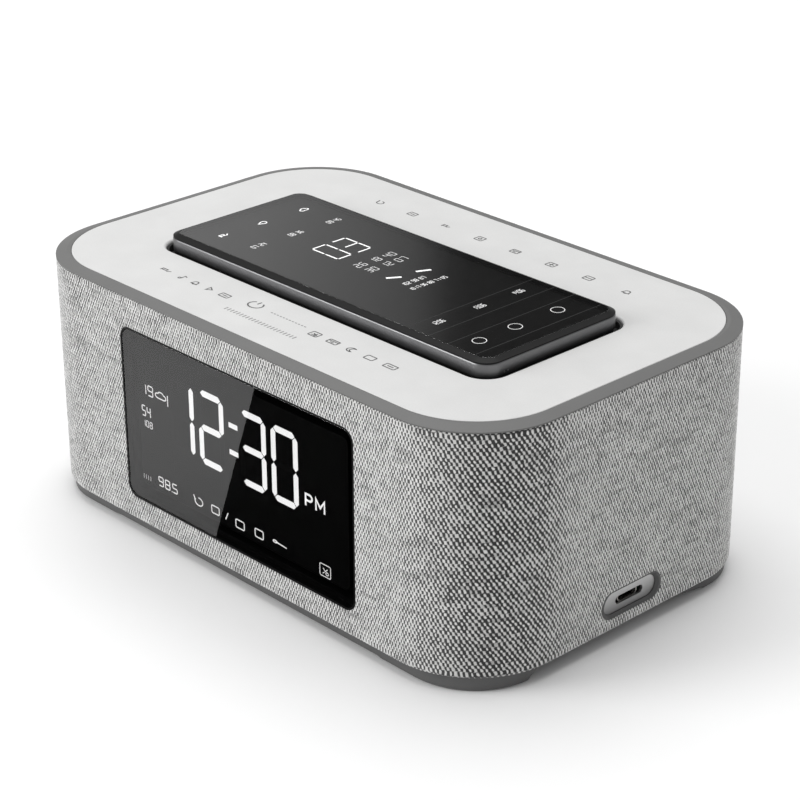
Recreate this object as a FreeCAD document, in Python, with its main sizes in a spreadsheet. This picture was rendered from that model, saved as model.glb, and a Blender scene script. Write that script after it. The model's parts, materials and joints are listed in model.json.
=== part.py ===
import FreeCAD, Part
import math
import os
import re

import Sketcher
from FreeCAD import Rotation, Vector

# A bedside clock radio: a fabric-wrapped cabinet with a grey rim, a white top with a charging well,
# a touch slate that lifts out of the well, a seven-segment display in the front wall and a charging
# port in the right-hand wall. Millimetres. +Z is up, the display faces -Y, +X is the right-hand side
# seen from the front, and the origin is on the floor below the middle of the cabinet.

DIMENSIONS = [
    # the wrapped cabinet
    ("body_length", 220, "outside of the fabric, left to right"),
    ("body_depth", 138, "outside of the fabric, front to back"),
    ("corner_radius", 32, "plan radius of the fabric's corners"),
    ("wall_low", 6, "foot of the moulded wall above the floor"),
    ("fabric_low", 5.3, "lower edge of the fabric, which hangs below the wall"),
    ("fabric_high", 86.4, "upper edge of the fabric"),
    ("fabric_thick", 0.85, "fabric and its backing"),
    ("shell_inset", 0.9, "outline of the moulded wall, inside the fabric's outline"),
    ("shell_thick", 2.5, "wall of the cabinet shell"),
    ("flange_inset", 12, "inner edge of the flange at the foot of the wall"),
    ("flange_thick", 2, "that flange"),
    ("boss_radius", 4.5, "screw bosses in the shell's corners"),
    ("boss_top", 24, "top of those bosses"),
    ("base_pilot", 1.35, "pilot hole for a base screw"),
    # the rim and the top
    ("plate_level", 88, "top face of the white plate"),
    ("rim_width", 4.4, "visible width of the rim along its straight sides"),
    ("rim_slope", 1.0, "fall of the rim from its inner to its outer edge"),
    ("rim_ledge", 8.5, "inner edge of the ledge that carries the plate"),
    ("plate_thick", 2.4, "white top plate"),
    ("plate_inset", 4.55, "straight sides of the plate, inside the fabric's outline"),
    ("plate_radius", 29.5, "corners of the plate"),
    ("well_length", 157.6, "well in the plate"),
    ("well_width", 65.9, "well in the plate"),
    ("well_radius", 8.2, "corners of the well"),
    ("well_depth", 4.2, "well below the plate's top face"),
    ("well_wall", 1.8, "wall and floor of the well"),
    ("well_east", 1.7, "centre of the well, X"),
    ("well_north", -2.2, "centre of the well, Y"),
    ("liner_thick", 0.85, "rubber liner of the well"),
    ("bracket_east", 34, "coil bracket's screws, from the middle of the well"),
    ("bracket_north", 22, "coil bracket's screws, from the middle of the well"),
    # the slate
    ("slate_length", 152.9, "touch slate"),
    ("slate_width", 61.0, "touch slate"),
    ("slate_radius", 5.9, "corners of the slate"),
    ("slate_thick", 8.1, "touch slate"),
    ("slate_rim", 2.2, "black surround of the slate's glass"),
    # the base
    ("base_inset", 3, "straight sides of the base, inside the fabric's outline"),
    ("base_radius", 25, "corners of the base"),
    ("base_low", 4.2, "underside of the base plate"),
    ("base_skirt", 2.2, "wall of the base's skirt"),
    ("skirt_low", 0.4, "lower edge of the skirt at the corners"),
    ("skirt_rise", 0.8, "lower edge of the skirt along the front and back"),
    ("foot_east", 91, "centre of a foot, X"),
    ("foot_north", 50, "centre of a foot, Y"),
    ("foot_radius", 9, "rubber foot pad"),
    # the display
    ("window_length", 113.2, "outside of the display frame"),
    ("window_height", 62.2, "outside of the display frame"),
    ("window_radius", 4.6, "corners of the display frame"),
    ("window_east", 2.1, "centre of the display, X"),
    ("window_level", 44.7, "centre of the display above the floor"),
    ("frame_wall", 0.6, "visible edge of the display frame"),
    ("lens_thick", 2, "display lens"),
    ("lens_recess", 0.3, "front of the lens below the fabric's face"),
    ("lens_gap", 0.2, "from the lens to the light block behind it"),
    ("reflector_depth", 4.6, "light block"),
    ("led_gap", 1, "from the light block to the board behind it"),
    ("digit_width", 12.6, "seven-segment digit"),
    ("digit_height", 26.4, "seven-segment digit"),
    ("digit_pitch", 15.1, "step between the two digits of a pair"),
    ("digit_level", 50.8, "centre of the digits above the floor"),
    ("digit_east", -3.3, "centre of the four digits from the centre of the display"),
    ("pair_offset", 17.9, "centre of a pair of digits from the centre of the four"),
    ("stroke", 2.2, "width of a segment"),
    ("stroke_gap", 0.45, "gap between neighbouring segments"),
    # the port
    ("port_length", 27.6, "port recess"),
    ("port_height", 9.4, "port recess"),
    ("port_north", 0.5, "centre of the port recess, Y"),
    ("port_level", 13.9, "centre of the port recess above the floor"),
    ("port_depth", 1.3, "metal plate below the outside of the fabric"),
    ("port_face_length", 24, "floor of the port recess"),
    ("port_face_height", 7.4, "floor of the port recess"),
    ("port_floor", 0.95, "floor of the port cup"),
    ("port_plate_thick", 0.8, "metal plate"),
    ("port_flare", 0.85, "flared mouth of the port recess"),
    ("socket_length", 7.3, "receptacle behind the metal plate"),
    ("port_board_back", 23.4, "inner end of the port's board, from the outside of the fabric"),
    ("port_screw_inset", 18.5, "screws of the port's board, from the outside of the fabric"),
    ("port_screw_offset", 8, "screws of the port's board, from the port's centre"),
    # the speakers
    ("speaker_level", 50, "axis of the speakers above the floor"),
    ("speaker_pad", 3, "thickened wall that carries a speaker"),
    ("speaker_square", 54, "speaker flange"),
    ("speaker_bore", 23.4, "bore of the speaker's flange"),
    ("speaker_hole", 22.5, "mounting hole from the speaker's axis, along each side"),
    ("speaker_clear", 1.3, "clearance hole in the speaker's flange"),
    ("speaker_pilot", 1.15, "hole for a speaker screw in the wall"),
    # boards
    ("board_thick", 1.6, "main and display boards"),
    ("board_level", 14, "underside of the main board"),
    ("board_length", 116, "main board"),
    ("board_width", 66, "main board"),
    ("board_east", -12, "centre of the main board, X"),
    ("board_north", 14, "centre of the main board, Y"),
    ("board_screw_inset", 5, "screws of the main board, from its edges"),
    ("board_post", 3, "post below the main board"),
    ("board_pilot", 1.15, "pilot hole in that post"),
    ("port_post", 2.4, "post below the port's board"),
    ("port_pilot", 0.95, "pilot hole in that post"),
    # the clock's back-up cell
    ("cell_east", -34, "centre of the coin cell, X"),
    ("cell_north", -43, "centre of the coin cell, Y"),
    ("cell_radius", 10, "coin cell"),
    ("cell_thick", 3.2, "coin cell"),
    ("door_width", 27.7, "battery door between its edges"),
    ("door_lip", 1, "each edge of the door that runs in the track"),
    ("door_play", 0.2, "track wider than the door"),
    ("door_travel", 25, "travel of the battery door"),
]
ALIASES = {alias for alias, number, meaning in DIMENSIONS}

doc = FreeCAD.newDocument("ClockRadio")
sheet = doc.addObject("Spreadsheet::Sheet", "Sizes")
for row, (alias, number, meaning) in enumerate(DIMENSIONS, start=1):
    sheet.set(f"A{row}", alias)
    sheet.set(f"B{row}", str(number))
    sheet.set(f"C{row}", meaning)
    sheet.setAlias(f"B{row}", alias)
doc.recompute()

PARTS = []                      # the sub-parts, in the order in which they are made


# ---------------------------------------------------------------- formulas and placing

def expression(formula):
    """A formula over the sheet's aliases, written as an expression."""
    def cell(match):
        word = match.group(0)
        return f"Sizes.{word}" if word in ALIASES else word
    return re.sub(r"[a-z_]+", cell, str(formula))


def value(formula):
    """What a formula comes to, in millimetres."""
    result = sheet.evalExpression(expression(formula))
    return float(getattr(result, "Value", result))


def bind(thing, path, formula):
    thing.setExpression(path, expression(formula))


def place(thing, east=0, north=0, level=0, rotation=Rotation()):
    """Put a piece at its place, which stays bound to the sheet."""
    thing.Placement = FreeCAD.Placement(Vector(value(east), value(north), value(level)), rotation)
    bind(thing, "Placement.Base.x", east)
    bind(thing, "Placement.Base.y", north)
    bind(thing, "Placement.Base.z", level)
    return thing


def sub_part(thing, label):
    """Name a finished piece and keep it for the export."""
    thing.Label = label
    PARTS.append(thing)
    return thing


TO_RIGHT = Rotation(Vector(0, 1, 0), 90)        # a piece's own +Z points along +X
TO_LEFT = Rotation(Vector(0, 1, 0), -90)        # along -X
TO_FRONT = Rotation(Vector(1, 0, 0), 90)        # along -Y, its own +Y up
TO_BACK = Rotation(Vector(1, 0, 0), -90)        # along +Y
UPSIDE_DOWN = Rotation(Vector(1, 0, 0), 180)    # along -Z
# the port's own +Z points along +X and its own +X along +Y
PORT_TURN = Rotation(Vector(0, 1, 0), Vector(0, 0, 1), Vector(1, 0, 0), "ZXY")
CORNERS = ((1, 1), (1, -1), (-1, 1), (-1, -1))


# ---------------------------------------------------------------- sketches and features

def body(name):
    return doc.addObject("PartDesign::Body", name)


def sketch(owner, plane="XY", level=0, shift=(0, 0)):
    """A sketch on one of a body's own planes, raised along the plane's normal."""
    base = [item for item in owner.Origin.OriginFeatures if item.Role == f"{plane}_Plane"][0]
    drawn = owner.newObject("Sketcher::SketchObject", f"{owner.Name}_sketch")
    drawn.AttachmentSupport = [(base, "")]
    drawn.MapMode = "FlatFace"
    bind(drawn, "AttachmentOffset.Base.x", shift[0])
    bind(drawn, "AttachmentOffset.Base.y", shift[1])
    bind(drawn, "AttachmentOffset.Base.z", level)
    return drawn


def dimension(drawn, kind, *where, formula):
    """A dimension in a sketch, bound to the sheet."""
    index = drawn.addConstraint(Sketcher.Constraint(kind, *where, value(formula)))
    bind(drawn, f"Constraints[{index}]", formula)


def rounded_loop(drawn, length, width, radius, east=0, north=0):
    """A closed rectangle with rounded corners about the point (east, north)."""
    half_x, half_y, turn = value(length) / 2, value(width) / 2, value(radius)
    mid_x, mid_y = value(east), value(north)
    right, left = mid_x + half_x, mid_x - half_x
    top, low = mid_y + half_y, mid_y - half_y
    line = Part.LineSegment
    first = drawn.addGeometry([
        line(Vector(left + turn, low, 0), Vector(right - turn, low, 0)),
        line(Vector(right, low + turn, 0), Vector(right, top - turn, 0)),
        line(Vector(right - turn, top, 0), Vector(left + turn, top, 0)),
        line(Vector(left, top - turn, 0), Vector(left, low + turn, 0)),
    ], False)[0]
    normal = Vector(0, 0, 1)
    corners = [(right - turn, low + turn, 270), (right - turn, top - turn, 0),
               (left + turn, top - turn, 90), (left + turn, low + turn, 180)]
    arcs = []
    for x, y, start in corners:
        circle = Part.Circle(Vector(x, y, 0), normal, turn)
        arc = Part.ArcOfCircle(circle, math.radians(start), math.radians(start + 90))
        arcs.append(drawn.addGeometry(arc, False))
    for side in range(4):
        drawn.addConstraint(Sketcher.Constraint("Tangent", first + side, 2, arcs[side], 1))
        drawn.addConstraint(Sketcher.Constraint("Tangent", arcs[side], 2, first + (side + 1) % 4, 1))
        direction = "Horizontal" if side % 2 == 0 else "Vertical"
        drawn.addConstraint(Sketcher.Constraint(direction, first + side))
    for arc in arcs[1:]:
        drawn.addConstraint(Sketcher.Constraint("Equal", arcs[0], arc))
    dimension(drawn, "Radius", arcs[0], formula=radius)
    dimension(drawn, "DistanceY", -1, 1, first, 1, formula=f"{north} - ({width}) / 2")
    dimension(drawn, "DistanceX", -1, 1, first + 1, 1, formula=f"{east} + ({length}) / 2")
    dimension(drawn, "DistanceY", -1, 1, first + 2, 1, formula=f"{north} + ({width}) / 2")
    dimension(drawn, "DistanceX", -1, 1, first + 3, 1, formula=f"{east} - ({length}) / 2")


def circle_loop(drawn, radius, east=0, north=0):
    """A circle about the point (east, north)."""
    centre = Vector(value(east), value(north), 0)
    ring = drawn.addGeometry(Part.Circle(centre, Vector(0, 0, 1), value(radius)), False)
    dimension(drawn, "Radius", ring, formula=radius)
    dimension(drawn, "DistanceX", -1, 1, ring, 3, formula=east)
    dimension(drawn, "DistanceY", -1, 1, ring, 3, formula=north)


def polygon_loop(drawn, corners):
    """A closed outline of straight sides; each corner is a pair of formulas."""
    points = [Vector(value(x), value(y), 0) for x, y in corners]
    sides = [Part.LineSegment(start, end) for start, end in zip(points, points[1:] + points[:1])]
    first = drawn.addGeometry(sides, False)[0]
    count = len(corners)
    for index, (x, y) in enumerate(corners):
        follower = first + (index + 1) % count
        drawn.addConstraint(Sketcher.Constraint("Coincident", first + index, 2, follower, 1))
        dimension(drawn, "DistanceX", -1, 1, first + index, 1, formula=x)
        dimension(drawn, "DistanceY", -1, 1, first + index, 1, formula=y)


def pad(owner, drawn, length, both_ways=False):
    """Raise a sketch into a solid."""
    raised = owner.newObject("PartDesign::Pad", f"{owner.Name}_pad")
    raised.Profile = drawn
    raised.Length = value(length)
    bind(raised, "Length", length)
    raised.Midplane = both_ways
    return raised


def pocket(owner, drawn, length, upwards=False, both_ways=False):
    """Cut a sketch out of the solid so far, and make sure that it took something away."""
    doc.recompute()
    before = owner.Shape.Volume
    removed = owner.newObject("PartDesign::Pocket", f"{owner.Name}_pocket")
    removed.Profile = drawn
    removed.Length = value(length)
    bind(removed, "Length", length)
    removed.Reversed = upwards
    removed.Midplane = both_ways
    doc.recompute()
    if not owner.Shape.Volume < before - 1e-3:
        raise RuntimeError(f"{removed.Name} cuts nothing")
    return removed


def revolve(owner, drawn):
    """Turn a sketch about its own vertical axis."""
    turned = owner.newObject("PartDesign::Revolution", f"{owner.Name}_turned")
    turned.Profile = drawn
    turned.ReferenceAxis = (drawn, ["V_Axis"])
    turned.Angle = 360
    return turned


def dress(owner, kind, size, wanted, second=None):
    """Fillet or chamfer the edges of a body that a test picks."""
    doc.recompute()
    last = owner.Tip
    names = [f"Edge{i}" for i, edge in enumerate(last.Shape.Edges, start=1) if wanted(edge)]
    if not names:
        raise RuntimeError(f"no edge of {owner.Name} to dress")
    dressed = owner.newObject(f"PartDesign::{kind}", f"{owner.Name}_{kind.lower()}")
    dressed.Base = (last, names)
    if kind == "Fillet":
        dressed.Radius = value(size)
        bind(dressed, "Radius", size)
    else:
        dressed.Size = value(size)
        bind(dressed, "Size", size)
    if second is not None:
        dressed.ChamferType = "Two distances"
        dressed.Size2 = value(second)
        bind(dressed, "Size2", second)
    doc.recompute()
    return dressed


def level_edges(level, inside=None, outside=None):
    """A test for the flat edges at one height, within or beyond a rectangle in plan."""
    height = value(level)

    def wanted(edge):
        box = edge.BoundBox
        flat = abs(box.ZMin - height) < 1e-4 and abs(box.ZMax - height) < 1e-4
        reach = max(abs(box.XMin), abs(box.XMax)), max(abs(box.YMin), abs(box.YMax))
        if inside is not None:
            flat = flat and reach[0] <= inside[0] and reach[1] <= inside[1]
        if outside is not None:
            flat = flat and (reach[0] >= outside[0] or reach[1] >= outside[1])
        return flat
    return wanted


def ring_pad(owner, outer, inner, level, height):
    """A wall between two rounded outlines, each (length, width, radius)."""
    drawn = sketch(owner, level=level)
    rounded_loop(drawn, *outer)
    rounded_loop(drawn, *inner)
    return pad(owner, drawn, height)


def plate_pad(owner, outline, level, height, east=0, north=0):
    """A flat plate of a rounded outline."""
    drawn = sketch(owner, level=level)
    rounded_loop(drawn, *outline, east, north)
    return pad(owner, drawn, height)


def cabinet_outline(inset):
    """The cabinet in plan, moved in by an inset, as length, width and corner radius."""
    return (f"body_length - 2 * ({inset})", f"body_depth - 2 * ({inset})", f"corner_radius - ({inset})")


def base_outline(inset):
    """The base in plan, moved in by an inset, as length, width and corner radius."""
    return (f"body_length - 2 * (base_inset + {inset})", f"body_depth - 2 * (base_inset + {inset})",
            f"base_radius - {inset}")


def board_screw(x, y):
    """Where a screw of the main board stands in plan; x and y are 1 or -1."""
    return (f"board_east + {x} * (board_length / 2 - board_screw_inset)",
            f"board_north + {y} * (board_width / 2 - board_screw_inset)")


def bracket_screw(x, y):
    """Where a screw of the coil bracket stands in plan; x and y are 1 or -1."""
    return (f"well_east + {x} * bracket_east", f"well_north + {y} * bracket_north")


def port_screw(y):
    """Where a screw of the port's board stands in plan; y is 1 or -1."""
    return ("body_length / 2 - port_screw_inset", f"port_north + {y} * port_screw_offset")


def slate_outline(inset):
    """The slate in plan, moved in by an inset, as length, width and corner radius."""
    return (f"slate_length - 2 * ({inset})", f"slate_width - 2 * ({inset})", f"slate_radius - ({inset})")


# ---------------------------------------------------------------- primitives

def block(length, width, height, east=0, north=0, low=0, name="block"):
    """A box standing on `low`, centred on (east, north)."""
    made = doc.addObject("Part::Box", name)
    for side, formula in (("Length", length), ("Width", width), ("Height", height)):
        setattr(made, side, value(formula))
        bind(made, side, formula)
    return place(made, f"{east} - ({length}) / 2", f"{north} - ({width}) / 2", low)


def blocks(sizes, name):
    """A row of boxes standing on one face, each (length, width, height, east, north)."""
    return [block(*size, 0, name) for size in sizes]


def post(radius, height, east=0, north=0, low=0, rotation=Rotation(), name="post"):
    """A cylinder from `low` upwards, or along a turned axis."""
    made = doc.addObject("Part::Cylinder", name)
    for side, formula in (("Radius", radius), ("Height", height)):
        setattr(made, side, value(formula))
        bind(made, side, formula)
    return place(made, east, north, low, rotation)


def cut(base, tool, name="cut"):
    made = doc.addObject("Part::Cut", name)
    made.Base = base
    made.Tool = tool
    return made


def fuse(pieces, name="fused"):
    made = doc.addObject("Part::MultiFuse", name)
    made.Shapes = pieces
    return made


def group(pieces, name="group"):
    """Separate solids that share one node."""
    made = doc.addObject("Part::Compound", name)
    made.Links = pieces
    return made


def rounded_block(length, width, height, radius, name):
    """A box with its upright edges rounded, centred on its own origin."""
    made = body(name)
    plate_pad(made, (length, width, radius), 0, height)
    return made


def screw(head_radius, head_height, shank_radius, shank_length, name="screw"):
    """A cross-head screw that points along its own -Z, its head above its own origin."""
    head = post(head_radius, head_height, name="screw_head")
    shank = post(shank_radius, shank_length, low=f"-({shank_length})", name="screw_shank")
    slot_long = block(f"1.3 * {head_radius}", f"0.3 * {head_radius}", f"0.5 * {head_height}",
                      low=f"0.6 * {head_height}", name="screw_slot")
    slot_wide = block(f"0.3 * {head_radius}", f"1.3 * {head_radius}", f"0.5 * {head_height}",
                      low=f"0.6 * {head_height}", name="screw_slot")
    return cut(fuse([head, shank]), fuse([slot_long, slot_wide]), name)


# ---------------------------------------------------------------- cabinet

def make_cabinet_shell():
    """The moulded wall, its floor flange with screw bosses, and the speaker pads and grilles."""
    shell = body("Shell")
    outer = cabinet_outline("shell_inset")
    wall_height = "fabric_high - wall_low"
    ring_pad(shell, outer, cabinet_outline("shell_inset + shell_thick"), "wall_low", wall_height)
    ring_pad(shell, outer, cabinet_outline("flange_inset"), "wall_low", "flange_thick")
    for side in (1, -1):
        middle = f"{side} * (body_length / 2 - shell_inset - shell_thick - speaker_pad / 2 + 0.05)"
        backing = sketch(shell, "YZ", middle)
        size = "speaker_square + 2"
        rounded_loop(backing, size, size, 6, 0, "speaker_level")
        circle_loop(backing, "speaker_bore + 0.1", 0, "speaker_level")
        pad(shell, backing, "speaker_pad + 0.1", both_ways=True)
    bosses = sketch(shell, level="wall_low")
    for x, y in CORNERS:
        circle_loop(bosses, "boss_radius", f"{x} * foot_east", f"{y} * foot_north")
    pad(shell, bosses, "boss_top - wall_low")
    pilots = sketch(shell, level="wall_low")
    for x, y in CORNERS:
        circle_loop(pilots, "base_pilot", f"{x} * foot_east", f"{y} * foot_north")
    pocket(shell, pilots, "boss_top - wall_low - 2", upwards=True)
    window = sketch(shell, "XZ", "body_depth / 2")
    rounded_loop(window, "window_length + 0.2", "window_height + 0.2", "window_radius + 0.1",
                 "window_east", "window_level")
    pocket(shell, window, "shell_inset + shell_thick + 0.5")
    port = sketch(shell, "YZ", "body_length / 2")
    rounded_loop(port, "port_length + 0.2", "port_height + 0.2", "port_height / 2 + 0.05",
                 "port_north", "port_level")
    pocket(shell, port, "shell_inset + shell_thick + 0.5")
    grille = sketch(shell, "YZ", "0")
    grille_radius, slot_step, slot_height, slot_radius = 21.5, 4.6, 2.4, 1.1
    for index in range(-4, 5):
        rise = slot_step * index
        chord = 2 * math.sqrt(grille_radius ** 2 - rise ** 2)
        rounded_loop(grille, round(chord, 2), slot_height, slot_radius, 0, f"speaker_level + {rise:.2f}")
    pocket(shell, grille, "body_length + 2", both_ways=True)
    holes = sketch(shell, "YZ", "0")
    for x, y in CORNERS:
        circle_loop(holes, "speaker_pilot", f"{x} * speaker_hole", f"speaker_level + {y} * speaker_hole")
    pocket(shell, holes, "body_length - 2 * shell_inset - 2", both_ways=True)
    sub_part(shell, "cabinet_shell")


def make_fabric_sleeve():
    """The woven wrap around the cabinet, cut out around the display and the port."""
    sleeve = body("Sleeve")
    ring_pad(sleeve, cabinet_outline(0), cabinet_outline("fabric_thick"), 0, "fabric_high - fabric_low")
    window = sketch(sleeve, "XZ", "body_depth / 2")
    rounded_loop(window, "window_length + 0.1", "window_height + 0.1", "window_radius + 0.05",
                 "window_east", "window_level - fabric_low")
    pocket(sleeve, window, "fabric_thick + 0.5")
    port = sketch(sleeve, "YZ", "body_length / 2")
    rounded_loop(port, "port_length + 0.1", "port_height + 0.1", "port_height / 2 + 0.02",
                 "port_north", "port_level - fabric_low")
    pocket(sleeve, port, "fabric_thick + 0.5")
    place(sub_part(sleeve, "fabric_sleeve"), level="fabric_low")


def make_base_tray():
    """The floor of the cabinet: a plate, a skirt that is arched between the corner feet, foot wells,
    board posts and the track of the battery door."""
    tray = body("Tray")
    outer = base_outline(0)
    plate_pad(tray, outer, "base_low", "wall_low - 0.05 - base_low")
    plate_pad(tray, cabinet_outline("flange_inset + 0.4"), "base_low", "wall_low + 0.8 - base_low")
    ring_pad(tray, outer, base_outline("base_skirt"), "skirt_low",
             "base_low + 0.1 - skirt_low")
    feet = sketch(tray, level="skirt_low + 0.4")
    for x, y in CORNERS:
        circle_loop(feet, "foot_radius + 1.5", f"{x} * foot_east", f"{y} * foot_north")
    pad(tray, feet, "base_low - skirt_low - 0.3")
    posts = sketch(tray, level="wall_low")
    for x, y in CORNERS:
        circle_loop(posts, "board_post", *board_screw(x, y))
    pad(tray, posts, "board_level - wall_low")
    port_posts = sketch(tray, level="wall_low")
    for y in (-1, 1):
        circle_loop(port_posts, "port_post", *port_screw(y))
    pad(tray, port_posts, "port_level - 2.9 - wall_low")
    # the skirt is raised along the front and the back, and arched away along the two ends
    rise = sketch(tray, "XZ", 0)
    polygon_loop(rise, [("-foot_east + 18", -1), ("foot_east - 18", -1), ("foot_east - 26", "skirt_rise"),
                        ("-foot_east + 26", "skirt_rise")])
    pocket(tray, rise, "body_depth", both_ways=True)
    arch = sketch(tray, "YZ", 0)
    polygon_loop(arch, [(-44, -1), (43, -1), (38, "skirt_low + 0.5"), (28, "skirt_low + 1.9"),
                        (17, "base_low - 0.05"), (-34.5, "base_low - 0.05"), (-40, "base_low - 1.5")])
    pocket(tray, arch, "body_length", both_ways=True)
    # foot pad wells, with a counterbore and a hole for the screw above each
    for radius, low, high in (("foot_radius + 0.1", "skirt_low", "2.6"), ("3.1", "2", "4.6"),
                              ("1.7", "4", "7"), ("boss_radius + 0.2", "wall_low - 0.05", "7")):
        wells = sketch(tray, level=low)
        for x, y in CORNERS:
            circle_loop(wells, radius, f"{x} * foot_east", f"{y} * foot_north")
        pocket(tray, wells, f"{high} - {low}", upwards=True)
    # T-shaped track for the door, and the opening below the cell
    door_middle = "cell_north + door_travel / 2"
    door_run = "2 * cell_radius + 6 + door_travel"
    for width, low, depth in (("door_width + door_play", "base_low - 1", "1.7"),
                              ("door_width + 2 * door_lip + door_play", "base_low + 0.6", "0.8")):
        track = sketch(tray, level=low)
        rounded_loop(track, width, door_run, 0.5, "cell_east", door_middle)
        pocket(tray, track, depth, upwards=True)
    opening = sketch(tray, level="base_low + 1")
    rounded_loop(opening, "2 * cell_radius + 1", "2 * cell_radius + 1", 3, "cell_east", "cell_north")
    pocket(tray, opening, 4, upwards=True)
    # pilot holes in the posts
    pilots = sketch(tray, level="wall_low + 1.2")
    for x, y in CORNERS:
        circle_loop(pilots, "board_pilot", *board_screw(x, y))
    for y in (-1, 1):
        circle_loop(pilots, "port_pilot", *port_screw(y))
    pocket(tray, pilots, 12, upwards=True)
    sub_part(tray, "base_tray")


def make_feet_and_base_screws():
    """Four rubber pads, and the four screws above them that hold the base to the cabinet."""
    pads, screws = [], []
    for x, y in CORNERS:
        where = {"east": f"{x} * foot_east", "north": f"{y} * foot_north"}
        pads.append(post("foot_radius", 2.5, **where, name="foot_pad"))
        turned = screw("2.7", "1.6", "1.25", "11", "base_screw")
        screws.append(place(turned, **where, level=4.5, rotation=UPSIDE_DOWN))
    sub_part(group(pads, "FootPads"), "foot_pads")
    sub_part(group(screws, "BaseScrews"), "base_screws")


def make_top_rim():
    """The grey ring around the top: a lip over the fabric, a spigot in the wall and a plate ledge."""
    rim = body("Rim")
    under = "fabric_high + 0.05"
    spigot = "shell_inset + shell_thick + 0.1"
    opening = ("body_length - 2 * rim_width", "body_depth - 2 * rim_width", "plate_radius + 0.15")
    ring_pad(rim, cabinet_outline(0), opening, under, f"plate_level - 0.1 - ({under})")
    slope_reach = value("body_length") / 2 - 1
    dress(rim, "Chamfer", "rim_slope", level_edges("plate_level - 0.1", outside=(slope_reach, 1000)),
          second="rim_width - 0.5")
    ring_pad(rim, cabinet_outline(spigot), opening, "plate_level - plate_thick - 0.1",
             f"{under} - (plate_level - plate_thick - 0.1)")
    ring_pad(rim, cabinet_outline(spigot), cabinet_outline("rim_ledge"), "plate_level - plate_thick - 2.1", 2)
    sub_part(rim, "top_rim")


def make_top_plate():
    """The white top with its sunk charging well and the bosses below it."""
    plate = body("Plate")
    low = "plate_level - plate_thick"
    outline = ("body_length - 2 * plate_inset", "body_depth - 2 * plate_inset", "plate_radius")
    plate_pad(plate, outline, low, "plate_thick")
    floor = "plate_level - well_depth - well_wall"
    plate_pad(plate, ("well_length + 2 * well_wall", "well_width + 2 * well_wall", "well_radius + well_wall"),
              floor, f"{low} + 0.1 - ({floor})", "well_east", "well_north")
    boss_height = 5
    bosses = sketch(plate, level=f"{floor} - {boss_height}")
    for x, y in CORNERS:
        circle_loop(bosses, 2.6, *bracket_screw(x, y))
    pad(plate, bosses, boss_height + 0.1)
    well = sketch(plate, level="plate_level")
    rounded_loop(well, "well_length", "well_width", "well_radius", "well_east", "well_north")
    pocket(plate, well, "well_depth")
    pilots = sketch(plate, level=f"{floor} - {boss_height}")
    for x, y in CORNERS:
        circle_loop(pilots, 0.95, *bracket_screw(x, y))
    pocket(plate, pilots, boss_height - 0.5, upwards=True)
    reach = value("well_length") / 2 + 3, value("well_width") / 2 + 4
    dress(plate, "Fillet", 0.9, level_edges("plate_level", inside=reach))
    dress(plate, "Fillet", 0.3, level_edges("plate_level", outside=(value("body_length") / 2 - 6, 1000)))
    sub_part(plate, "top_plate")


def make_well_liner():
    """The dark rubber tray that lines the well."""
    liner = body("Liner")
    gap = 0.1
    outer = (f"well_length - {2 * gap}", f"well_width - {2 * gap}", f"well_radius - {gap}")
    inner = tuple(f"{side} - 2 * liner_thick" for side in outer[:2]) + (f"{outer[2]} - liner_thick",)
    plate_pad(liner, outer, 0, "liner_thick - 0.1")
    ring_pad(liner, outer, inner, 0, "well_depth - 1.15")
    place(sub_part(liner, "well_liner"), "well_east", "well_north", "plate_level - well_depth + 0.05")


# ---------------------------------------------------------------- display

def make_display_frame():
    """The black frame of the display: an edge through the wall and a flange behind it."""
    frame = body("Frame")
    inner = ("window_length - 2 * frame_wall", "window_height - 2 * frame_wall",
             "window_radius - frame_wall")
    ledge = ("window_length - 5", "window_height - 5", 3.4)
    ring_pad(frame, ("window_length", "window_height", "window_radius"), inner, -3.5, 3.4)
    ring_pad(frame, ("window_length", "window_height", "window_radius"), ledge, -5.2, 2.7)
    ring_pad(frame, ("window_length + 6", "window_height + 6", "window_radius + 3"), ledge, -5.2, 1.7)
    place(sub_part(frame, "display_frame"), "window_east", "-body_depth / 2", "window_level", TO_FRONT)


def make_display_lens():
    """The smoked lens, glued into the frame just below the fabric's face."""
    lens = rounded_block("window_length - 2 * frame_wall - 0.1", "window_height - 2 * frame_wall - 0.1",
                         "lens_thick", "window_radius - frame_wall - 0.05", "Lens")
    front = value("lens_thick")
    dress(lens, "Fillet", 0.25, level_edges(front))
    place(sub_part(lens, "display_lens"), "window_east", "-body_depth / 2 + lens_recess + lens_thick",
          "window_level", TO_FRONT)


# the seven segments of a digit, by their places, and the segments that each number lights
SEGMENTS = ("top", "upper_right", "lower_right", "bottom", "lower_left", "upper_left", "middle")
LIT = {
    0: ("top", "upper_right", "lower_right", "bottom", "lower_left", "upper_left"),
    1: ("upper_right", "lower_right"),
    2: ("top", "upper_right", "middle", "lower_left", "bottom"),
    3: ("top", "upper_right", "middle", "lower_right", "bottom"),
}
TIME_SHOWN = (1, 2, 3, 0)
COLON_BAR = (4.3, 1.7)          # each of the two bars between the pairs of digits
COLON_EAST = 0.7                # from the centre of the digits
COLON_HEIGHTS = (5.5, -4.0)     # above the centre of the digits
BLOCK_FRONT = "-body_depth / 2 + lens_recess + lens_thick + lens_gap"
LED_FACE = f"{BLOCK_FRONT} + reflector_depth + led_gap"
# each chip or socket: length, width, height, and its centre on its board
LED_DRIVER = ((9, 9, 1.2, -30, -8), (6, 5, 1.5, 0, -6), (16, 4, 2.2, 0, -20))


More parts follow.
